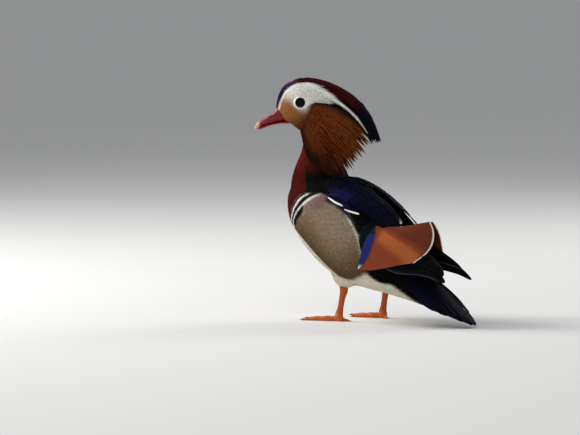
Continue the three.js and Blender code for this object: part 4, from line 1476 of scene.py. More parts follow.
# The hackles' and glossy feathers' darker rims are painted shade between feathers
HACKLES = PlumageFinish(name="hackles", streak=Dye.STREAK, rim=0.85)
BARRED_PLUMAGE = PlumageFinish(name="barred_plumage", bars=0.24)
GLOSSY_PLUMAGE = PlumageFinish(name="glossy_plumage", roughness=0.55, specular=0.018, rim=0.2)
SAIL_FINISH = SailFinish()
BILL_FINISH = HardFinish(name="bill_horn", roughness=0.36, coat=0.12, specular=0.28)
LEG_FINISH = HardFinish(name="shank_skin", roughness=0.5, coat=0.05, specular=0.3, grain=700, height=0.00015)
LID_FINISH = HardFinish(name="lid_skin", roughness=0.6, coat=0.0)
EYE_FINISH = HardFinish(name="eye_gloss", roughness=0.03, coat=0.45, coat_ior=1.33, specular=0.0, grain=1500,
                        height=0.0)


def egg(centre: Triple, radii: Triple, share: Array, angle: Array) -> Array:
    """An upright egg.

    Args:
        centre: Its middle.
        radii: Its half width, half length and half height.
        share: The share down it.
        angle: The angle round it.

    Returns:
        The point.
    """
    (x, y, z), (wide, long, high) = centre, radii
    ring = opening(share)
    return np.stack([x + wide * ring * np.sin(angle), y - long * ring * np.cos(angle),
                     z - high * np.cos(math.pi * share)], axis=-1)


@dataclass
class Skin:
    """One closed skin over body, neck, head, thighs and the wings' inner bodies."""

    voxel: float = 0.0013  # the size of the skin's own cells, in metres
    depth: float = 0.0010  # how far it lies inside the solids, in metres
    smoothing: int = 14
    thigh_radii: Triple = (13, 17, 17)
    thigh_inward: float = 3  # how far inside the ankle its middle stands
    thigh_high: float = 51
    thigh_back: float = 7
    mantle: Triple = (0, -14, 138)
    mantle_radii: Triple = (22, 30, 11)

    def __post_init__(self) -> None:
        """Makes the forms that the skin covers."""
        self.torso, self.neck, self.skull = Torso(), Neck(), Skull()
        self.crest, self.ruff, self.wing = CrestForm(), RuffForm(self.skull), WingForm(self.torso)

    def build(self) -> Piece:
        """Makes the skin.

        Returns:
            The linked object.
        """
        forms = [mould(48, 40, self.torso.point), mould(40, 40, self.neck.point),
                 mould(48, 40, self.skull.point), mould(24, 24, self.crest.core),
                 mould(24, 24, self.ruff.core), mould(24, 24, TailForm().root),
                 mould(24, 20, partial(egg, self.mantle, self.mantle_radii))]
        for side in Side:
            thigh = (side * (STANCE.side - self.thigh_inward), self.thigh_back - side * STANCE.step,
                     self.thigh_high)
            forms += [mould(24, 20, partial(egg, thigh, self.thigh_radii)),
                      mould(24, 24, partial(self.ruff.pad, side)), mould(24, 32, partial(self.wing.core, side))]
        piece = piece_of("skin", *forms)
        bpy.context.view_layer.objects.active = piece
        remesh = piece.modifiers.new("one_skin", "REMESH")
        remesh.mode = "VOXEL"
        remesh.voxel_size = self.voxel
        settled = piece.modifiers.new("settled", "SMOOTH")
        settled.factor = 0.5
        settled.iterations = self.smoothing
        for modifier in (remesh, settled):
            bpy.ops.object.modifier_apply(modifier=modifier.name)
        mesh = piece.data
        places, normals = (read_vectors(mesh, name, np.float32) for name in ("co", "normal"))
        mesh.vertices.foreach_set("co", (places - self.depth * normals).ravel())
        mesh.update()
        mesh.shade_smooth()
        paint(mesh, MARKINGS.at(own_points(mesh)))
        return settle(piece, SOFT_PLUMAGE, Slot.BODY, "torso", "neck", "head")


class Part(IntEnum):
    """The parts of the skin that differ in their feathers."""

    HEAD = 0
    NECK = 1
    BREAST = 2
    BACK = 3
    FLANK = 4
    BELLY = 5
    VENT = 6


@dataclass(frozen=True)
class Patch:
    """The feathers of one part of the skin."""

    part: Part
    spacing: float  # the distance between roots, in millimetres
    length: float
    half_width: float
    lift: float  # how high its tip stands off the skin
    slot: Slot
    finish: Finish = SOFT_PLUMAGE
    vane: Vane = BODY_VANE


@dataclass
class Coat:
    """The small feathers that lie over the skin."""

    skin: Mesh
    patches: tuple[Patch, ...] = (
        Patch(Part.HEAD, 0.85, 6.0, 0.42, 0.1, Slot.HEAD),
        Patch(Part.NECK, 1.1, 9.5, 0.55, 0.15, Slot.CHESTNUT, vane=FINE_VANE),
        Patch(Part.BREAST, 1.25, 10.0, 0.75, 0.2, Slot.CHESTNUT, vane=FINE_VANE),
        Patch(Part.BACK, 1.8, 9.5, 1.5, 0.5, Slot.WING, GLOSSY_PLUMAGE),
        Patch(Part.FLANK, 1.2, 13.0, 0.62, 0.22, Slot.BODY, BARRED_PLUMAGE),
        Patch(Part.BELLY, 1.5, 14.0, 0.8, 0.35, Slot.BODY),
        Patch(Part.VENT, 1.7, 18.0, 1.0, 0.5, Slot.BODY),
    )
    draws: int = 5  # the candidates drawn for each root that is kept
    thickness: float = 0.1
    most: int = 8000  # the most feathers in one piece
    steps: int = 3
    sunk: float = 0.4  # how deep its root lies in the skin
    tip_rise: float = 0.8
    vary: tuple[float, float] = (0.8, 1.2)
    # The head's feathers' lengths as a share of their patch's, by the place forward
    head_lengths: Rows = ((-60, 2.2), (-20, 1.5), (20, 0.8), (38, 0.45))
    lie_near: float = 4  # how far a given lie holds before it fades
    lie_fade: float = 3.5  # how quickly it fades
    eye_margin: float = 1.2  # how clear of the eye's opening the roots lie
    bill_edge: float = 37
    bill_half: float = 6.5  # half the width of the bill's base
    # A place and the way its feathers point: on both sides of the body, on one side of the neck alone,
    # and on both sides of the head by its own axes
    body_lie: tuple[tuple[Triple, Triple], ...] = (
        ((0, -82, 125), (0, 0.2, -1)), ((30, -70, 110), (0.3, 0.6, -0.8)), ((0, -60, 75), (0, 0.9, -0.5)),
        ((0, -40, 152), (0, 1, 0.1)), ((30, -40, 140), (0.5, 0.8, -0.6)), ((50, -30, 100), (0.1, 0.8, -0.6)),
        ((54, 0, 85), (0, 0.9, -0.45)), ((0, 20, 127), (0, 0.9, -0.5)), ((50, 30, 75), (0, 0.9, -0.4)),
        ((0, -20, 48), (0, 1, -0.25)), ((0, 40, 30), (0, 1, -0.1)), ((0, 60, 83), (0, 0.8, -0.7)),
        ((0, 90, 20), (0, 1, -0.1)), ((30, 70, 45), (-0.1, 1, -0.4)), ((0, 100, 30), (0, 0.9, -0.5)),
        ((25, 0, 38), (0.1, 0.5, -0.9)), ((35, 10, 45), (0, 0.7, -0.7)),
    )
    neck_lie: tuple[tuple[Triple, Triple], ...] = (
        ((0, -75, 160), (0, -0.1, -1)), ((5, -70, 185), (0, 0, -1)), ((25, -50, 165), (0.2, 0.1, -1)),
        ((3, -25, 165), (0, 0.5, -0.9)), ((20, -50, 190), (0.1, 0.1, -1)), ((-20, -50, 190), (-0.1, 0.1, -1)),
        ((-25, -50, 165), (-0.2, 0.1, -1)),
    )
    head_lie: tuple[tuple[Triple, Triple], ...] = (
        ((38, 0, -5), (-0.4, 0, 1)), ((34, 7, 0), (-0.5, 0.3, 0.9)), ((25, 12, 5), (-0.9, 0.1, 0.4)),
        ((26, 0, 20), (-0.9, 0, 0.5)), ((5, 0, 27), (-1, 0, 0)), ((5, 12, 20), (-1, 0, -0.05)),
        ((30, 10, -12), (-0.95, 0.1, -0.1)), ((15, 15, -5), (-1, 0, 0)), ((0, 17, 2), (-1, 0, -0.1)),
        ((10, 16, -15), (-0.8, 0.1, -0.6)), ((22, 8, -22), (-0.7, 0, -0.7)), ((-20, 14, 0), (-0.9, 0, -0.5)),
        ((-30, 0, 17), (-0.9, 0, -0.45)), ((-50, 8, -5), (-0.7, 0, -0.8)), ((-62, 4, -25), (-0.3, 0, -1)),
        ((15, 0, -26), (-0.5, 0, -0.8)), ((-10, 15, -25), (-0.5, 0.1, -0.9)),
    )

    def __post_init__(self) -> None:
        """Reads the skin that the coat grows from."""
        self.skin.calc_loop_triangles()
        self.points = own_points(self.skin)
        self.normals = read_vectors(self.skin, "normal")
        corners = np.zeros(len(self.skin.loop_triangles) * 3, np.int32)
        self.skin.loop_triangles.foreach_get("vertices", corners)
        self.triangles = corners.reshape(-1, 3)
        self.tree = BVHTree.FromPolygons(self.points.tolist(), self.triangles.tolist())
        self.lie_places, self.lie_ways = self.lie_table()

    def lie_table(self) -> tuple[Array, Array]:
        """Gathers every place with a given lie, on both sides.

        Returns:
            The places and their directions.
        """
        rows = [np.multiply(row, (side, 1, 1)) for row in self.body_lie for side in Side]
        rows += [np.array(row, float) for row in self.neck_lie]
        for place, way in self.head_lie:
            for side in Side:
                start, end = (HEAD.place(forward, left * side, up)
                              for forward, left, up in (place, np.add(place, way)))
                rows.append(np.array((start, end - start)))
        places, ways = np.moveaxis(np.array(rows), 1, 0)
        return places, unit(ways)

    def lie(self, points: Array, normals: Array) -> Array:
        """Finds the way the coat lies, along the skin's surface.

        Args:
            points: Points of the skin.
            normals: The skin's normals there.

        Returns:
            The directions.
        """
        gaps = np.linalg.norm(points[:, None] - self.lie_places[None], axis=-1)
        weights = 1 / (gaps + self.lie_near) ** self.lie_fade
        ways = (weights[..., None] * self.lie_ways[None]).sum(1)
        return unit(ways - normals * (ways * normals).sum(-1, keepdims=True))

    def part_of(self, points: Array) -> Array:
        """Finds the part that each place of the skin belongs to.

        Args:
            points: The places.

        Returns:
            Their parts' numbers.
        """
        y, z = points[:, 1], points[:, 2]
        forward, _, up = HEAD.local(points)
        part = np.full(len(points), Part.BELLY.value)
        part[z > MARKINGS.flank_low(y)] = Part.FLANK
        part[(z > MARKINGS.flank_top(y) + 1) | (y > MARKINGS.flank_rear(z))] = Part.BACK
        part[(z < 62 - 0.35 * (y - 30)) & (y > 34)] = Part.VENT
        part[(y - MARKINGS.bar_front(z) < 14) & (z > 96) & (y < -20)] = Part.BREAST
        part[(z > 146) & (y < -18)] = Part.NECK
        part[(up > MARKINGS.head_low(forward)) & (z > 180)] = Part.HEAD
        return part

    def roots(self, patch: Patch, draw: np.random.Generator) -> tuple[Array, Array]:
        """Spreads roots evenly but irregularly over one part of the skin.

        Args:
            patch: The part's feathers.
            draw: The seeded draw.

        Returns:
            The roots and the skin's normals there.
        """
        corners = self.points[self.triangles]
        wanted = self.part_of(corners.mean(1)) == patch.part
        corners, normals = corners[wanted], self.normals[self.triangles][wanted]
        a, b, c = np.moveaxis(corners, 1, 0)
        areas = 0.5 * np.linalg.norm(np.cross(b - a, c - a), axis=1)
        number = int(self.draws * areas.sum() / patch.spacing ** 2)
        chosen = draw.choice(len(corners), number, p=areas / areas.sum())
        p, q = draw.uniform(0, 1, (2, number))
        p, q = np.where(p + q > 1, (1 - p, 1 - q), (p, q))
        shares = np.stack([1 - p - q, p, q], -1)[..., None]
        places = (corners[chosen] * shares).sum(1)
        outs = unit((normals[chosen] * shares).sum(1))
        near = KDTree(number)
        for i, place in enumerate(places):
            near.insert(place, i)
        near.balance()
        kept, gone = np.zeros((2, number), bool)
        for i, place in enumerate(places):
            if not gone[i]:
                kept[i] = True
                for _, j, _ in near.find_range(place, patch.spacing):
                    gone[j] = True
        if patch.part is Part.HEAD:
            kept &= self.clear(places)
        return places[kept], outs[kept]

    def paths(self, roots: Array, outs: Array, lengths: Array, lift: float) -> tuple[Array, Array]:
        """Runs a feather from each root along the lie of the coat, over the skin.

        Args:
            roots: The roots.
            outs: The normals there.
            lengths: Each feather's length.
            lift: How high a tip stands off the skin.

        Returns:
            The middle lines and the normals along them.
        """
        line, normals = [roots - self.sunk * outs], [outs]
        place, out = roots, outs
        for k in range(1, self.steps + 1):
            on = place + self.lie(place, out) * (lengths / self.steps)[:, None]
            hits = [self.tree.find_nearest(p)[:2] for p in on]
            place = np.array([hit[0] for hit in hits])
            out = unit(0.5 * out + 0.5 * np.array([hit[1] for hit in hits]))
            line.append(place + out * (lift * (k / self.steps) ** self.tip_rise))
            normals.append(out)
        return np.stack(line, 1), np.stack(normals, 1)

    def clear(self, roots: Array) -> Array:
        """Whether each of the head's roots lies clear of eye and bill."""
        forward, left, up = HEAD.local(roots)
        eye = np.hypot(forward - EYE.forward, up - EYE.up) > EYE.opening + self.eye_margin
        return eye & ((forward < self.bill_edge - 0.35 * (up + 10)) | (np.abs(left) > self.bill_half))

    def build(self) -> list[Piece]:
        """Makes every patch of the coat.

        Returns:
            The linked objects.
        """
        made = []
        for number, patch in enumerate(self.patches):
            draw = np.random.default_rng(number + 11)
            roots, outs = self.roots(patch, draw)
            lengths = patch.length * draw.uniform(*self.vary, len(roots))
            if patch.part is Part.HEAD:
                lengths = lengths * straight_runs(HEAD.local(roots)[0], self.head_lengths)
            line, normals = self.paths(roots, outs, lengths, patch.lift)
            halves = patch.half_width * draw.uniform(*self.vary, len(roots))
            pieces = math.ceil(len(roots) / self.most)
            for k in range(pieces):
                some = slice(k, None, pieces)
                plumes = Plumes(f"coat_{patch.part.name.lower()}_{k + 1}", number * 7 + k + 100)
                plumes.add(patch.vane, line[some], normals[some], halves[some], self.thickness)
                made.append(plumes.build(patch.finish, patch.slot))
        return made


@dataclass
class Crest:
    """The crest's long fine feathers, in tiers down each side."""

    form: CrestForm
    rows: int = 15  # the number of feathers down each tier
    tiers: Rows = ((0.0, 0.26), (0.06, 0.36), (0.14, 0.47), (0.22, 0.57), (0.31, 0.67), (0.41, 0.77),
                   (0.51, 0.86), (0.6, 0.94), (0.68, 1.0))
    half_width: float = 1.35
    tapers: Rows = ((0.26, 0.45), (0.5, 1.0), (0.8, 0.9), (1.0, 0.6))
    thickness: float = 0.3
    knots: int = 9

    def build(self) -> Piece:
        """Makes the feathers.

        Returns:
            The linked object.
        """
        plumes = Plumes("crest", 31)
        shares = np.linspace(0, 1, self.knots)
        for side in Side:
            for tier, (start, end) in enumerate(self.tiers):
                half = self.half_width * straight_runs(end, self.tapers)
                for row in range(self.rows):
                    jitter = plumes.draw.uniform(-1, 1, 3)
                    down = np.clip((row + 0.5 * (tier % 2) + 0.25 * jitter[0]) / self.rows, 0.01, 0.99)
                    along = start + (end - start + 0.05 * jitter[1] - 0.05 * down * end) * shares
                    lift = -0.5 + (0.9 + 0.3 * jitter[2]) * np.minimum(1, shares * 2)
                    line, over = (self.form.point(np.clip(along, 0, 1), np.full(self.knots, down), side, at)
                                  for at in (lift, lift + 2))
                    plumes.add(LONG_VANE, line[None], unit(over - line)[None], half, self.thickness,
                               Tints(vary=0.14))
        return plumes.build(SOFT_PLUMAGE, Slot.HEAD)


@dataclass
class Ruff:
    """The hackles of both cheeks, each with its pale shaft streak."""

    form: RuffForm
    tiers: Rows = (
        # number, how far out they begin and end, lift
        (34, 0.16, 1.04, 0.0), (34, 0.13, 0.92, 0.8), (33, 0.1, 0.79, 1.4), (32, 0.07, 0.66, 1.9),
        (31, 0.04, 0.53, 2.3), (30, 0.02, 0.41, 2.6), (28, 0.0, 0.3, 2.9), (26, 0.0, 0.2, 3.2),
    )
    half_width: float = 1.7  # a hackle's half width at the fan's edge
    thickness: float = 0.4
    knots: int = 9

    def build(self) -> Piece:
        """Makes the hackles.

        Returns:
            The linked object.
        """
        plumes = Plumes("ruff", 37)
        shares = np.linspace(0, 1, self.knots)
        tints = Tints(vary=0.12, root_painted_shade=0.1)
        for side in Side:
            for tier, (number, near, far, lift) in enumerate(self.tiers):
                place = (np.arange(number) + 0.5 * (tier % 2) + plumes.draw.uniform(-0.2, 0.2, number)) / number
                place = np.clip(place, 0, 1)
                reach = far * plumes.draw.uniform(0.94, 1.03, number)
                at = near + (reach[:, None] - near) * shares[None]
                spread = np.repeat(place[:, None], self.knots, 1)
                rise = (-1.2 + (1.2 + lift) * np.minimum(1, shares * 2.5))[None].repeat(number, 0)
                line, over = (self.form.point(spread, at, side, height) for height in (rise, rise + 2))
                # Green-black at the top, chestnut below; the lowest tips are as dark as the neck behind
                dark = 1 - ramp(place, 0.03, 0.1)
                low = ramp(place, 0.5, 0.3) * ramp(far, 0.75, 0.3)
                ground = mix(Dye.CHEEK.colour, Dye.CHESTNUT.colour, ramp(place + 0.5 * far, 0.75, 1.1))
                for colour, share in ((Dye.GREEN.colour, dark),
                                      (Dye.MAROON.colour * 0.5, ramp(place + 0.3 * far, 0.85, 0.4)),
                                      (Dye.MANTLE.colour, 0.8 * low)):
                    ground = mix(ground, colour, share)
                mark = np.clip(1 - 0.65 * place + plumes.draw.uniform(-0.15, 0.15, number), 0, 1)
                mark = mark * (1 - dark) * (1 - 0.75 * low)
                half = self.half_width * (0.55 + 0.45 * far)
                plumes.add(LANCE, line, unit(over - line), half, self.thickness, tints, ground, mark)
        return plumes.build(HACKLES, Slot.CHESTNUT)


@dataclass(frozen=True)
class FeatherRow:
    """A row of large feathers, each a step on from the one before.

    Attributes:
        count: How many there are.
        root: The first one's root, as shares along and down the wing and a height over it.
        root_step: The step from root to root.
        tip: The first one's tip.
        tip_step: The step from tip to tip.
        half_width: A feather's half width.
        dye: Its ground colour, or None to take it from its place.
        tints: The colours within it.
        sag: How far its middle bows down the wing.
        stagger: How much higher every other tip lies.
    """

    count: int
    root: Triple
    root_step: Triple
    tip: Triple
    tip_step: Triple
    half_width: float
    dye: Optional[Dye]
    tints: Tints
    sag: float = 0.0
    stagger: float = 0.0


PLAIN = Tints(vary=0.15)
SILVERED = Tints(edge=Dye.SILVER, vary=0.05)
WHITE_TIPPED = Tints(tip=Dye.WHITE, tip_from=0.95)


@dataclass
class Wing:
    """One folded wing: scapulars over tertials and secondaries, and the stack of primaries."""

    form: WingForm
    side: Side
    # Primaries, a narrow stack along the lower edge; tertials along the upper edge; secondaries between
    # the flank and the sail
    rows: tuple[FeatherRow, ...] = (
        FeatherRow(8, (0.5, 0.86, 0.1), (0, -0.01, 0), (0.99, 0.66, 0.2), (-0.03, 0.035, 0.55), 4.6,
                   Dye.OLIVE, SILVERED, sag=0.08),
        FeatherRow(4, (0.5, 0.24, 0.2), (0, 0.12, 0), (0.95, 0.28, 1.0), (-0.06, 0.12, 0.8), 7.4,
                   Dye.MANTLE, PLAIN),
        FeatherRow(6, (0.34, 0.4, 0.8), (0.01, 0.11, 0), (0.64, 0.44, 4.6), (-0.012, 0.1, 0), 5.2,
                   Dye.TEAL, PLAIN, stagger=0.5),
    )
    scapular_rows: int = 6
    scapular_half: float = 4.6
    # The white outer webs of the lowest scapulars, along the top of the flank
    stripes: tuple[Rows, ...] = (
        ((39.8, -12.9, 129.5), (43, -6, 127.5), (44, -0.3, 125), (44, 5, 123.2), (44, 10.4, 121.3)),
        ((40.3, 8.8, 117.9), (40.8, 14, 116.5), (40.7, 19.8, 115.2), (40.2, 24, 114.4), (39.5, 28.2, 113.4)),
    )
    stripe_out: Triple = (0.85, 0, 0.5)
    knots: int = 12
    thickness: float = 0.45

    def ground(self, points: Array) -> Array:
        """The colour of a covert or scapular by its place: violet at the shoulder, then navy to black.

        Args:
            points: The places.

        Returns:
            A colour for each.
        """
        x, y, _ = np.moveaxis(points, -1, 0)
        violet = ramp(y, -20, 8) * (1 - ramp(y, 16, 20)) * ramp(np.abs(x), 28, 10)
        return layered(Dye.MANTLE, points.shape, (Dye.NAVY, (1 - ramp(y, 50, 50)) * 0.9), (Dye.VIOLET, violet))

    def feather(self, plumes: Plumes, row: FeatherRow, i: int = 0) -> None:
        """Lays one large feather on the wing.

        Args:
            plumes: The piece it goes into.
            row: Its row.
            i: Its number in the row.
        """
        share = np.linspace(0, 1, self.knots)
        start, tip = ([at + step * i for at, step in zip(*pair)]
                      for pair in ((row.root, row.root_step), (row.tip, row.tip_step)))
        tip[2] += row.stagger * (i % 2)
        along = start[0] + (tip[0] - start[0]) * share
        down = start[1] + (tip[1] - start[1]) * share + row.sag * np.sin(math.pi * share)
        lift = start[2] + (tip[2] - start[2]) * share ** 0.7
        line, over = (self.form.point(along, down, height, self.side) for height in (lift, lift + 3))
        ground = row.dye.colour[None] if row.dye else self.ground(line[-3:-2])
        plumes.add(QUILL, line[None], unit(over - line)[None], row.half_width, self.thickness, row.tints, ground)

    def scapulars(self, plumes: Plumes) -> None:
        """Lays the rows of scapulars, from the shoulder back.

        Args:
            plumes: The piece they go into.
        """
        for row in range(self.scapular_rows):
            start, low, count = 0.03 + 0.052 * row, 0.88 - 0.075 * row, 10 - row // 2
            root = 0.3 if row else -3.5
            for i in range(count):
                down = 0.08 + (low - 0.08) * (i + 0.5 * (row % 2)) / count
                tip = (start + 0.17 + 0.018 * row - 0.008 * i, down * 0.9 + 0.01, 2.6 + 0.75 * row + 0.4 * (i % 2))
                tints = WHITE_TIPPED if row == self.scapular_rows - 1 and i < 1 else PLAIN
                still = (0, 0, 0)
                self.feather(plumes, FeatherRow(1, (start, down, root), still, tip, still,
                                                self.scapular_half, None, tints))

    def build(self) -> Piece:
        """Makes the wing.

        Returns:
            The linked object.
        """
        name = f"wing_{self.side.label}"
        plumes = Plumes(f"{name}_feathers", 41 if self.side is Side.LEFT else 43)
        for row in self.rows:
            for i in range(row.count):
                self.feather(plumes, row, i)
        self.scapulars(plumes)
        out = unit(np.multiply(self.stripe_out, (self.side, 1, 1)))
        for stripe in self.stripes:
            path = SmoothCurve(*(np.multiply(stripe, (self.side, 1, 1)) + out * 1.6))(np.linspace(0, 1, self.knots))
            plumes.add(QUILL, path[None], np.broadcast_to(out, path.shape)[None], 1.1, 0.5,
                       ground=Dye.WHITE.colour[None])
        return plumes.build(GLOSSY_PLUMAGE, Slot.WING, name)


@dataclass
class Sail:
    """One sail with its orange inner vane, white rear edge and blue outer vane."""

    side: Side
    form: SailForm = SailForm()
    columns: int = 120
    rows: int = 90
    thickness: float = 0.0007  # its thickness in metres
    shaft: SmoothLine = SmoothLine((0, 0.0), (0.15, 0.07), (0.3, 0.13), (0.5, 0.165), (0.7, 0.165),
                                   (0.85, 0.125), (1, 0.02))

    def build(self) -> Piece:
        """Makes the sail.

        Returns:
            The linked object.
        """
        shares: list[Array] = []

        def place(back: Array, down: Array) -> Array:
            """The sail's points; the shares are kept for its colours."""
            shares.extend((back, down))
            return self.form.point(self.side, back, down)

        name = f"sail_{self.side.label}"
        piece = piece_of(f"{name}_vane", sheet(self.columns, self.rows, self.thickness, place))
        # The sheet's two faces have the same shares
        back, down = (np.resize(share, len(piece.data.vertices)) for share in shares)
        paint(piece.data, self.colours(back, down))
        store_lay(piece.data, np.stack([back, down, back * 0], -1))
        return settle(piece, SAIL_FINISH, Slot.SAIL, name)

    def colours(self, back: Array, down: Array) -> Array:
        """The sail's colours, with a painted highlight across the middle of the orange vane and painted shade over
        its top.

        Args:
            back: The shares back.
            down: The shares down.

        Returns:
            A colour for each place.
        """
        shaft = self.shaft(down)
        slant = down - 0.25 - 0.97 * (back - 0.28)
        # Painted highlight: a lighter band across the middle of the orange vane
        light = ramp(slant, -0.05, 0.1) * (1 - ramp(slant, 0.22, 0.2)) * ramp(back, 0.22, 0.1)
        blue = 1 - ramp(back, shaft, 0.015)
        return layered(
            Dye.SAIL, (len(back), 3),
            (Dye.SAIL_LIGHT, 0.9 * light),
            # Painted shade over the top of the orange vane
            (Dye.SAIL_DARK, 0.85 * (1 - ramp(slant, -0.16, 0.14)) * ramp(back, 0.2, 0.15)),
            (Dye.SAIL_BLUE, blue),
            (Dye.MANTLE, blue * (1 - ramp(down, 0.27, 0.05))),
            (Dye.WHITE, blue * ramp(down, 0.93, 0.08) * 0.8),
            (Dye.BLACK, 0.7 * (1 - ramp(np.abs(back - shaft - 0.012), 0.008, 0.008))),
            (Dye.MAROON, ramp(back, 0.945, 0.02) * 0.5),
            (Dye.WHITE, ramp(back, 0.976, 0.01)))


@dataclass
class Tail:
    """The tail's feathers and the coverts over their roots."""

    form: TailForm = TailForm()
    feathers: int = 14
    half_width: float = 6.0
    # For each row of coverts their number, where they begin and end, and their lift
    coverts: Rows = ((9, 0.03, 0.42, 3.2), (7, 0.0, 0.3, 4.2))
    covert_half: float = 5.0
    thickness: float = 0.6
    floor: float = 0.9  # the least height of a middle line
    knots: int = 12

    def build(self) -> Piece:
        """Makes the tail.

        Returns:
            The linked object.
        """
        plumes = Plumes("tail_feathers", 53)
        shares = np.linspace(0, 1, self.knots)
        half = (self.feathers - 1) / 2
        sets = []
        for i in range(self.feathers):
            out = (i - half) / half
            sets.append((out, 0.2, 1.0 - 0.2 * abs(out) ** 2, 1.9 * (1 - abs(out)) + 0.5 * (i % 2), self.half_width))
        for count, start, end, lift in self.coverts:
            sets += [(0.75 * (2 * i / (count - 1) - 1), start, end, lift, self.covert_half) for i in range(count)]
        for across, start, end, lift, wide in sets:
            along = start + (end - start) * shares
            rise = lift * np.minimum(1, shares * 2)
            line = self.form.point(along, across * 0.92, rise)
            over = unit(self.form.point(along, across * 1.02, rise + 3) - line)
            line[:, 2] = np.maximum(line[:, 2], self.floor)
            plumes.add(QUILL, line[None], over[None], wide, self.thickness, Tints(vary=0.1), Dye.TAIL.colour[None])
        return plumes.build(GLOSSY_PLUMAGE, Slot.TAIL, "tail")


@dataclass
class Bill:
    """The bill: two halves, a pale nail, and nostrils dented in with painted shade in them."""

    mouth: SmoothLine = SmoothLine((26, -17.4), (36, -18.8), (45, -20.6), (52, -22.7), (57, -25.2), (61, -27))
    ridge: SmoothLine = SmoothLine((30, 1), (36, -3), (41, -8.2), (47.7, -13.2), (54, -17.2), (58.4, -20.2),
                                   (60.2, -23.6))
    keel: SmoothLine = SmoothLine((24, -20.4), (36, -21), (45.8, -23.4), (52, -25.8), (57.5, -27.6))
    half_width: SmoothLine = SmoothLine((26, 5), (34, 6.8), (42, 6.3), (50, 5.6), (56, 5), (59, 3.9), (60.4, 2.2))
    fullness: float = 2.3
    nostril: tuple[float, float] = (43.0, -12.6)
    dent: tuple[float, float] = (1.9, 0.75)
    slant: float = 0.5  # how much it leans forward
    gap: float = 0.25  # how far the halves close into each other
    nail_from: float = 55.2  # where the nail begins

    def half(self, start: float, end: float, top: Line, bottom: Line, narrow: float, share: Array,
             angle: Array) -> Array:
        """One half of the bill.

        Args:
            start: Where it begins.
            end: Where it ends.
            top: Its upper profile line.
            bottom: Its lower one.
            narrow: Its width as a share of the bill's.
            share: The share along it.
            angle: The angle up from the left side.

        Returns:
            The point.
        """
        forward = start + (end - start) * np.sin(np.clip((share - 0.02) / 0.96, 0, 1) * math.pi / 2)
        high, low, shut = top(forward), bottom(forward), shut_ends(share)
        side = self.half_width(forward) * narrow * rounded(np.cos(angle), self.fullness) * shut
        up = (high + low) / 2 + (high - low) / 2 * rounded(np.sin(angle), self.fullness) * shut
        (at, level), (long, tall) = self.nostril, self.dent
        dent = np.exp(-((forward - at - self.slant * (up - level)) / long) ** 2 - ((up - level) / tall) ** 2)
        return HEAD.place(forward, side * (1 - 0.3 * dent), up)

    def build(self) -> list[Piece]:
        """Makes both halves.

        Returns:
            The linked objects.
        """
        upper = partial(self.half, 24, 60.3, self.ridge, lambda f: self.mouth(f) - self.gap, 1)
        lower = partial(self.half, 22, 57.6, lambda f: self.mouth(f) + self.gap, self.keel, 0.86)
        made = []
        for name, form in (("bill_upper", mould(56, 70, upper)), ("bill_lower", mould(40, 50, lower))):
            piece = piece_of(f"{name}_horn", form)
            paint(piece.data, self.colours(own_points(piece.data), name == "bill_upper"))
            made.append(settle(piece, BILL_FINISH, Slot.BILL, name))
        return made

    def colours(self, points: Array, upper: bool) -> Array:
        """Crimson, with a painted highlight along the ridge and painted rim light along the keel, a pale nail at the
        tip, and painted shade in the mouth's groove and the nostrils.

        Args:
            points: The places.
            upper: Whether they belong to the upper half.

        Returns:
            A colour for each.
        """
        forward, _, up = HEAD.local(points)
        (at, level), (long, _) = self.nostril, self.dent
        hole = np.hypot((forward - at - self.slant * (up - level)) / long, (up - level) / 0.8)
        return layered(
            Dye.CRIMSON, points.shape,
            # Painted highlight along the top of the ridge
            (Dye.RIDGE, 0.5 * ramp(up, self.ridge(forward) - 1.6, 1.6)),
            # Painted rim light along the lower edge
            (Dye.KEEL, 0.8 * (1 - ramp(up, self.keel(forward) + 0.4, 1.6))),
            (Dye.NAIL, ramp(forward, self.nail_from, 2.5) * (1.0 if upper else 0.6)),
            # Painted shade in the groove between the two halves
            (Dye.MOUTH, 0.7 * (1 - ramp(np.abs(up - self.mouth(forward)), 0.2, 0.2))),
            # Painted shade inside the nostrils
            (Dye.MOUTH, (1 - ramp(hole, 0.9, 0.4)) * (1.0 if upper else 0.0)))


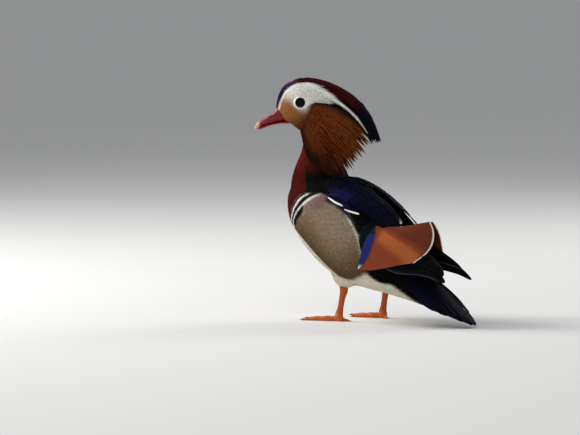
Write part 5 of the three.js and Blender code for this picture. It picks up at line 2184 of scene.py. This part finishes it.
@dataclass
class Eye:
    """One eye: the ball with its iris and pupil, and the lids round it."""

    skull: Skull
    side: Side
    pupil: float = 2.7
    iris: float = 4.4
    lid: float = 0.75  # the radius of the lids' round edge
    lid_gap: float = 0.35  # how far outside the opening its middle runs
    lid_out: float = 0.25  # how far off the head's side its middle stands
    lid_full: float = 1.3  # how much fuller it is outwards
    lid_depth: float = 4.0  # how deep the lids reach into the face
    lid_flare: float = 0.6  # how far they widen there
    lid_steps: int = 48

    def __post_init__(self) -> None:
        """Finds where the eye sits and where it looks."""
        self.side_at = float(self.skull.side(np.array(EYE.forward), np.array(EYE.up)))
        turn = HEAD.turn + EYE.splay * self.side
        self.look = np.array((math.cos(turn), math.sin(turn), 0)) * self.side
        self.high = np.array((0, 0, 1.0))
        self.ahead = np.cross(self.look, self.high)
        self.centre = HEAD.place(EYE.forward, self.side * (self.side_at - EYE.radius + EYE.stand_out), EYE.up)

    def ball(self, share: Array, angle: Array) -> Array:
        """The eyeball's point at a share from its front and an angle round it."""
        ring = opening(share) * EYE.radius
        return (self.centre + self.look * (np.cos(math.pi * share) * EYE.radius)[:, None]
                + self.ahead * (ring * np.cos(angle))[:, None] + self.high * (ring * np.sin(angle))[:, None])

    def off_axis(self, piece: Piece, middle: Array) -> Array:
        """How far each vertex lies from the line of sight through a point."""
        off = own_points(piece.data) - middle
        return np.linalg.norm(off - (off @ self.look)[:, None] * self.look, axis=1)

    def lids(self, middle: Array) -> Form:
        """The lids, as a ring round the opening.

        Args:
            middle: The ring's middle.

        Returns:
            The form.
        """
        form = bmesh.new()
        bmesh.ops.create_circle(form, cap_ends=False, segments=12, radius=self.lid)
        for vertex in form.verts:
            inner = max(0.0, -vertex.co.y / self.lid)
            reach = EYE.opening + self.lid_gap + vertex.co.x + self.lid_flare * inner
            deep = vertex.co.y * self.lid_full - self.lid_depth * inner
            vertex.co = Vector(to_scene(middle + self.high * reach + self.look * deep))
        bmesh.ops.spin(form, geom=form.edges[:] + form.verts[:], cent=Vector(to_scene(middle)),
                       axis=Vector(self.look), dvec=(0, 0, 0), angle=2 * math.pi, steps=self.lid_steps,
                       use_merge=True, use_duplicate=False)
        bmesh.ops.remove_doubles(form, verts=form.verts[:], dist=1e-6)
        bmesh.ops.recalc_face_normals(form, faces=form.faces)
        return form

    def build(self) -> list[Piece]:
        """Makes the eye.

        Returns:
            The linked objects.
        """
        name = f"eye_{self.side.label}"
        eyeball = piece_of(f"{name}_ball", mould(48, 64, self.ball))
        out = self.off_axis(eyeball, self.centre)
        paint(eyeball.data, layered(Dye.IRIS, (len(out), 3), (Dye.PUPIL, 1 - ramp(out, self.pupil, 0.3)),
                                    (Dye.EYE_RIM, ramp(out, self.iris, 0.8))))
        middle = HEAD.place(EYE.forward, self.side * (self.side_at + self.lid_out), EYE.up)
        lids = piece_of(f"{name}_lids", self.lids(middle))
        out = self.off_axis(lids, middle)
        paint(lids.data, layered(Dye.LID, (len(out), 3),
                                 (Dye.WHITE, ramp(out, EYE.opening + self.lid_gap, 0.5))))
        return [settle(eyeball, EYE_FINISH, Slot.EYE, name), settle(lids, LID_FINISH, Slot.EYE)]


@dataclass
class Leg:
    """One scaled shank with its webbed foot and claws."""

    side: Side
    height: SmoothLine = SmoothLine((0, 3), (0.12, 7), (0.3, 13), (0.6, 24), (0.85, 34), (1, 46))
    forward: SmoothLine = SmoothLine((0, 0.6), (0.12, 0), (0.3, -1.4), (0.6, -3.6), (0.85, -5.6), (1, -5))
    depth: SmoothLine = SmoothLine((0, 4.6), (0.12, 4.4), (0.3, 3.6), (0.6, 3.6), (0.85, 4.9), (1, 6))
    width: SmoothLine = SmoothLine((0, 3.6), (0.12, 3.2), (0.3, 2.5), (0.6, 2.5), (0.85, 3.4), (1, 4.6))
    # For each toe its turn outwards, its length and its half width; the hind one turns from straight back
    toes: Rows = ((0.42, 43.0, 2.5), (0.02, 46.0, 2.6), (-0.42, 36.0, 2.4))
    hind: Triple = (0.35, 12.0, 1.7)  # the same of the hind toe, turned from straight back
    hind_start: tuple[float, float] = (1.5, 2)
    scutes: int = 22  # the number of plates down the front of the shank
    toe_scutes: int = 20  # the number of plates along a toe
    web_thickness: float = 0.0009  # the web's thickness in metres
    floor: float = 0.05  # the least height of a toe

    def __post_init__(self) -> None:
        """Finds where the ankle stands and where each toe begins and turns."""
        self.ankle_at = STANCE.ankle(self.side)
        inward, back = self.hind_start
        self.all_toes = [(self.ankle_at, self.side * turn, long, half) for turn, long, half in self.toes]
        turn, long, half = self.hind
        self.hind_toe = (self.ankle_at + (-inward * self.side, back, 0), math.pi + self.side * turn, long, half)

    def shank(self, share: Array, angle: Array) -> Array:
        """The shank, with a plate's step at each scute on its front.

        Args:
            share: The share up it.
            angle: The angle from straight ahead.

        Returns:
            The point.
        """
        x, y, _ = self.ankle_at
        plate = 0.16 * np.abs(np.sin(math.pi * self.scutes * share)) ** 0.6 * np.clip(np.cos(angle), 0, 1)
        deep = (self.depth(share) + plate) * np.cos(angle) * shut_ends(share)
        wide = (self.width(share) + plate) * np.sin(angle) * shut_ends(share)
        return np.stack([x * (1 - 0.05 * share) + wide, -(-y + self.forward(share)) - deep,
                         self.height(share)], axis=-1)

    def digit(self, start: Array, turn: float, along: Array, across: Array, z: Array) -> Array:
        """Points of a toe or claw.

        Args:
            start: Where the toe begins.
            turn: Its turn from straight ahead.
            along: How far along it each point lies.
            across: How far across it.
            z: How high.

        Returns:
            The points, none below the floor.
        """
        point = (start + np.array((math.sin(turn), -math.cos(turn), 0)) * along[:, None]
                 + np.array((math.cos(turn), math.sin(turn), 0)) * across[:, None])
        point[:, 2] = np.maximum(z, self.floor)
        return point

    def toe(self, start: Array, turn: float, length: float, width: float, share: Array, angle: Array) -> Array:
        """One toe from the ankle to its claw, with its knuckles and plates.

        Args:
            start: Where it begins.
            turn: Its turn from straight ahead.
            length: Its length.
            width: Its half width.
            share: The share along it.
            angle: The angle up from its side.

        Returns:
            The point.
        """
        knuckle = 1 + 0.13 * np.cos(share * 6 * math.pi)
        plate = 1 + 0.035 * np.abs(np.sin(math.pi * self.toe_scutes * share)) * np.clip(np.sin(angle), 0, 1)
        half = width * (1.2 - 0.72 * share) * knuckle * np.sin(math.pi * np.clip(share, 0.06, 0.94)) ** 0.3
        half = half * np.clip((1.02 - share) / 0.14, 0, 1) ** 0.5 * shut_ends(share) * plate
        high = (1.25 * half + 0.4) * np.where(half > 0, 1, 0)
        curl = np.clip(share - 0.85, 0, 1) * -4
        z = high * 0.8 * np.sin(angle) + (0.7 * width + 0.2) * (1.25 - 0.75 * share) + curl
        return self.digit(start, turn, share * (length - 3), half * np.cos(angle), z)

    def claw(self, start: Array, turn: float, length: float, width: float, share: Array, angle: Array) -> Array:
        """A claw, curving down to the floor past the end of its toe.

        Args:
            start: Where its toe begins.
            turn: Its turn from straight ahead.
            length: The toe's length.
            width: The toe's half width.
            share: The share along the claw.
            angle: The angle up from its side.

        Returns:
            The point.
        """
        thick = 0.34 * width * (1 - share) ** 0.7 * shut_ends(share)
        z = 0.42 * width + 0.35 - 1.1 * share ** 2 + thick * np.sin(angle)
        return self.digit(start, turn, length - 6 + 6.3 * share, thick * 0.8 * np.cos(angle), z)

    def ankle(self, share: Array, angle: Array) -> Array:
        """The rounded pad where shank and toes meet.

        Args:
            share: The share down it.
            angle: The angle from straight back.

        Returns:
            The point.
        """
        x, y, _ = self.ankle_at
        ring = opening(share, 0.8) * (1.06 - 0.3 * share)
        wrinkle = 1 + 0.03 * np.abs(np.sin(7 * math.pi * share)) * ring
        return np.stack([x + 4.4 * ring * wrinkle * np.sin(angle), y + 5.4 * ring * wrinkle * np.cos(angle),
                         np.maximum(4.2 - 5.6 * np.cos(math.pi * share), self.floor)], axis=-1)

    def web(self, along: Array, fan: Array) -> Array:
        """The web between the toes, with scalloped front edges.

        Args:
            along: The share out from the ankle.
            fan: The share from the outer toe to the inner one.

        Returns:
            The point.
        """
        (x, y, _), outer, inner = self.ankle_at, self.toes[0], self.toes[2]
        turn = self.side * (outer[0] + (inner[0] - outer[0]) * fan)
        scallop = 0.86 - 0.13 * np.abs(np.sin(2 * math.pi * fan))
        bow = outer[1] + (inner[1] - outer[1]) * fan + 5 * np.sin(math.pi * fan)
        reach = (0.05 + (scallop - 0.05) * along) * bow
        sag = 0.35 * np.abs(np.sin(2 * math.pi * fan)) * along
        return np.stack([x + np.sin(turn) * reach, y - np.cos(turn) * reach, 1.1 * (1 - along) + 1.25 - sag], -1)

    def build(self) -> list[Piece]:
        """Makes the leg.

        Returns:
            The linked objects.
        """
        label = self.side.label
        shank = piece_of(f"shank_{label}", mould(28, 150, self.shank))
        points = own_points(shank.data)
        ring = (points[:, 2] / 1.95) % 1.0
        paint(shank.data, layered(Dye.SHANK, points.shape,
                                  (Dye.SHANK_DARK, 0.5 * (1 - ramp(np.abs(ring - 0.5), 0.36, 0.2)))))
        foot = piece_of(f"foot_{label}_skin", *(mould(16, 110, partial(self.toe, *toe)) for toe in self.all_toes),
                        mould(14, 30, partial(self.toe, *self.hind_toe)),
                        sheet(24, 48, self.web_thickness, self.web), mould(36, 30, self.ankle))
        points = own_points(foot.data)
        wave = 0.5 + 0.5 * np.sin(points[:, 0] * 3.1) * np.sin(points[:, 1] * 2.7)
        paint(foot.data, layered(Dye.SHANK, points.shape, (Dye.SHANK_PALE, 0.4 * wave)))
        horn = piece_of(f"claws_{label}", *(mould(10, 12, partial(self.claw, *toe))
                                            for toe in (*self.all_toes, self.hind_toe)))
        paint(horn.data, Dye.CLAW.colour)
        return [settle(shank, LEG_FINISH, Slot.LEG, f"leg_{label}"),
                settle(foot, LEG_FINISH, Slot.LEG, f"foot_{label}"), settle(horn, BILL_FINISH, Slot.LEG)]


@dataclass(frozen=True)
class Lamp:
    """A soft square light, in metres."""

    name: str
    left: float  # how far it stands to the left of the photograph's view
    back: float  # how far towards the camera
    high: float
    size: float
    power: float


@dataclass
class Studio:
    """A plain pale floor, soft light and the camera at the photograph's angle."""

    frame: tuple[int, int] = (580, 435)
    mm_per_pixel: float = 1.05
    back: Triple = (0.786, 0.614, 0.0698)
    origin_pixel: tuple[float, float] = (361.0, 319.5)  # where the body's own origin shows
    distance: float = 3.5  # how far away the camera stands, in metres
    sensor: float = 36
    floor_size: float = 200
    floor_colour: Triple = (0.8, 0.79, 0.77)
    sky_colour: Triple = (0.8, 0.82, 0.85)
    sky: float = 0.42  # the strength of that light
    aim_high: float = 0.12  # how high the lights aim
    lamps: tuple[Lamp, ...] = (Lamp("key", 1.5, -0.5, 1.3, 0.9, 34), Lamp("fill", 0.2, 1.9, 0.9, 1.6, 9),
                               Lamp("rim", -1.2, -1.2, 1.2, 0.8, 10))

    def floor(self) -> None:
        """Makes the floor."""
        mesh = bpy.data.meshes.new("floor")
        form = bmesh.new()
        bmesh.ops.create_grid(form, x_segments=2, y_segments=2, size=self.floor_size)
        form.to_mesh(mesh)
        form.free()
        paper = Shading("floor_paper")
        paper.fill(paper.shader, {}, {"Base Color": (*self.floor_colour, 1), "Roughness": 0.9})
        mesh.materials.append(paper.made)
        linked("floor", mesh)

    def build(self) -> None:
        """Makes floor, lights and camera."""
        self.floor()
        scene = bpy.context.scene
        scene.world = bpy.data.worlds.new("studio")
        scene.world.use_nodes = True
        sky = scene.world.node_tree.nodes["Background"].inputs
        sky["Color"].default_value = (*self.sky_colour, 1)
        sky["Strength"].default_value = self.sky
        back = Vector(self.back).normalized()
        left = Vector((math.sin(HEAD.turn), -math.cos(HEAD.turn), 0))
        up = back.cross(-left).normalized()
        if up.z < 0:
            up.negate()
        for lamp in self.lamps:
            light = bpy.data.lights.new(lamp.name, "AREA")
            light.size, light.energy = lamp.size, lamp.power
            stand = linked(lamp.name, light)
            stand.location = left * lamp.left + back * lamp.back + Vector((0, 0, lamp.high))
            aim = Vector((0, 0, self.aim_high)) - stand.location
            stand.rotation_euler = aim.to_track_quat("-Z", "Y").to_euler()
        scale = self.mm_per_pixel * MM
        across, above = ((at - size / 2) * scale for at, size in zip(self.origin_pixel, self.frame))
        camera = bpy.data.cameras.new("camera")
        camera.sensor_width = self.sensor
        camera.lens = self.sensor * self.distance / (self.frame[0] * scale)
        rig = linked("camera", camera)
        rig.location = Vector((0, -MIDDLE * MM, 0)) + left * across + up * above + back * self.distance
        rig.rotation_euler = back.to_track_quat("Z", "Y").to_euler()
        scene.camera = rig
        scene.view_settings.view_transform = "Standard"


def main() -> None:
    """Builds the drake piece by piece, then the studio round it."""
    forms = Skin()
    skin = forms.build()
    for part in (Coat(skin.data), Crest(forms.crest), Ruff(forms.ruff), Bill(), Tail()):
        part.build()
    for side in Side:
        for part in (Wing(forms.wing, side), Sail(side), Eye(forms.skull, side), Leg(side)):
            part.build()
    Studio().build()


if __name__ == "__main__":
    main()
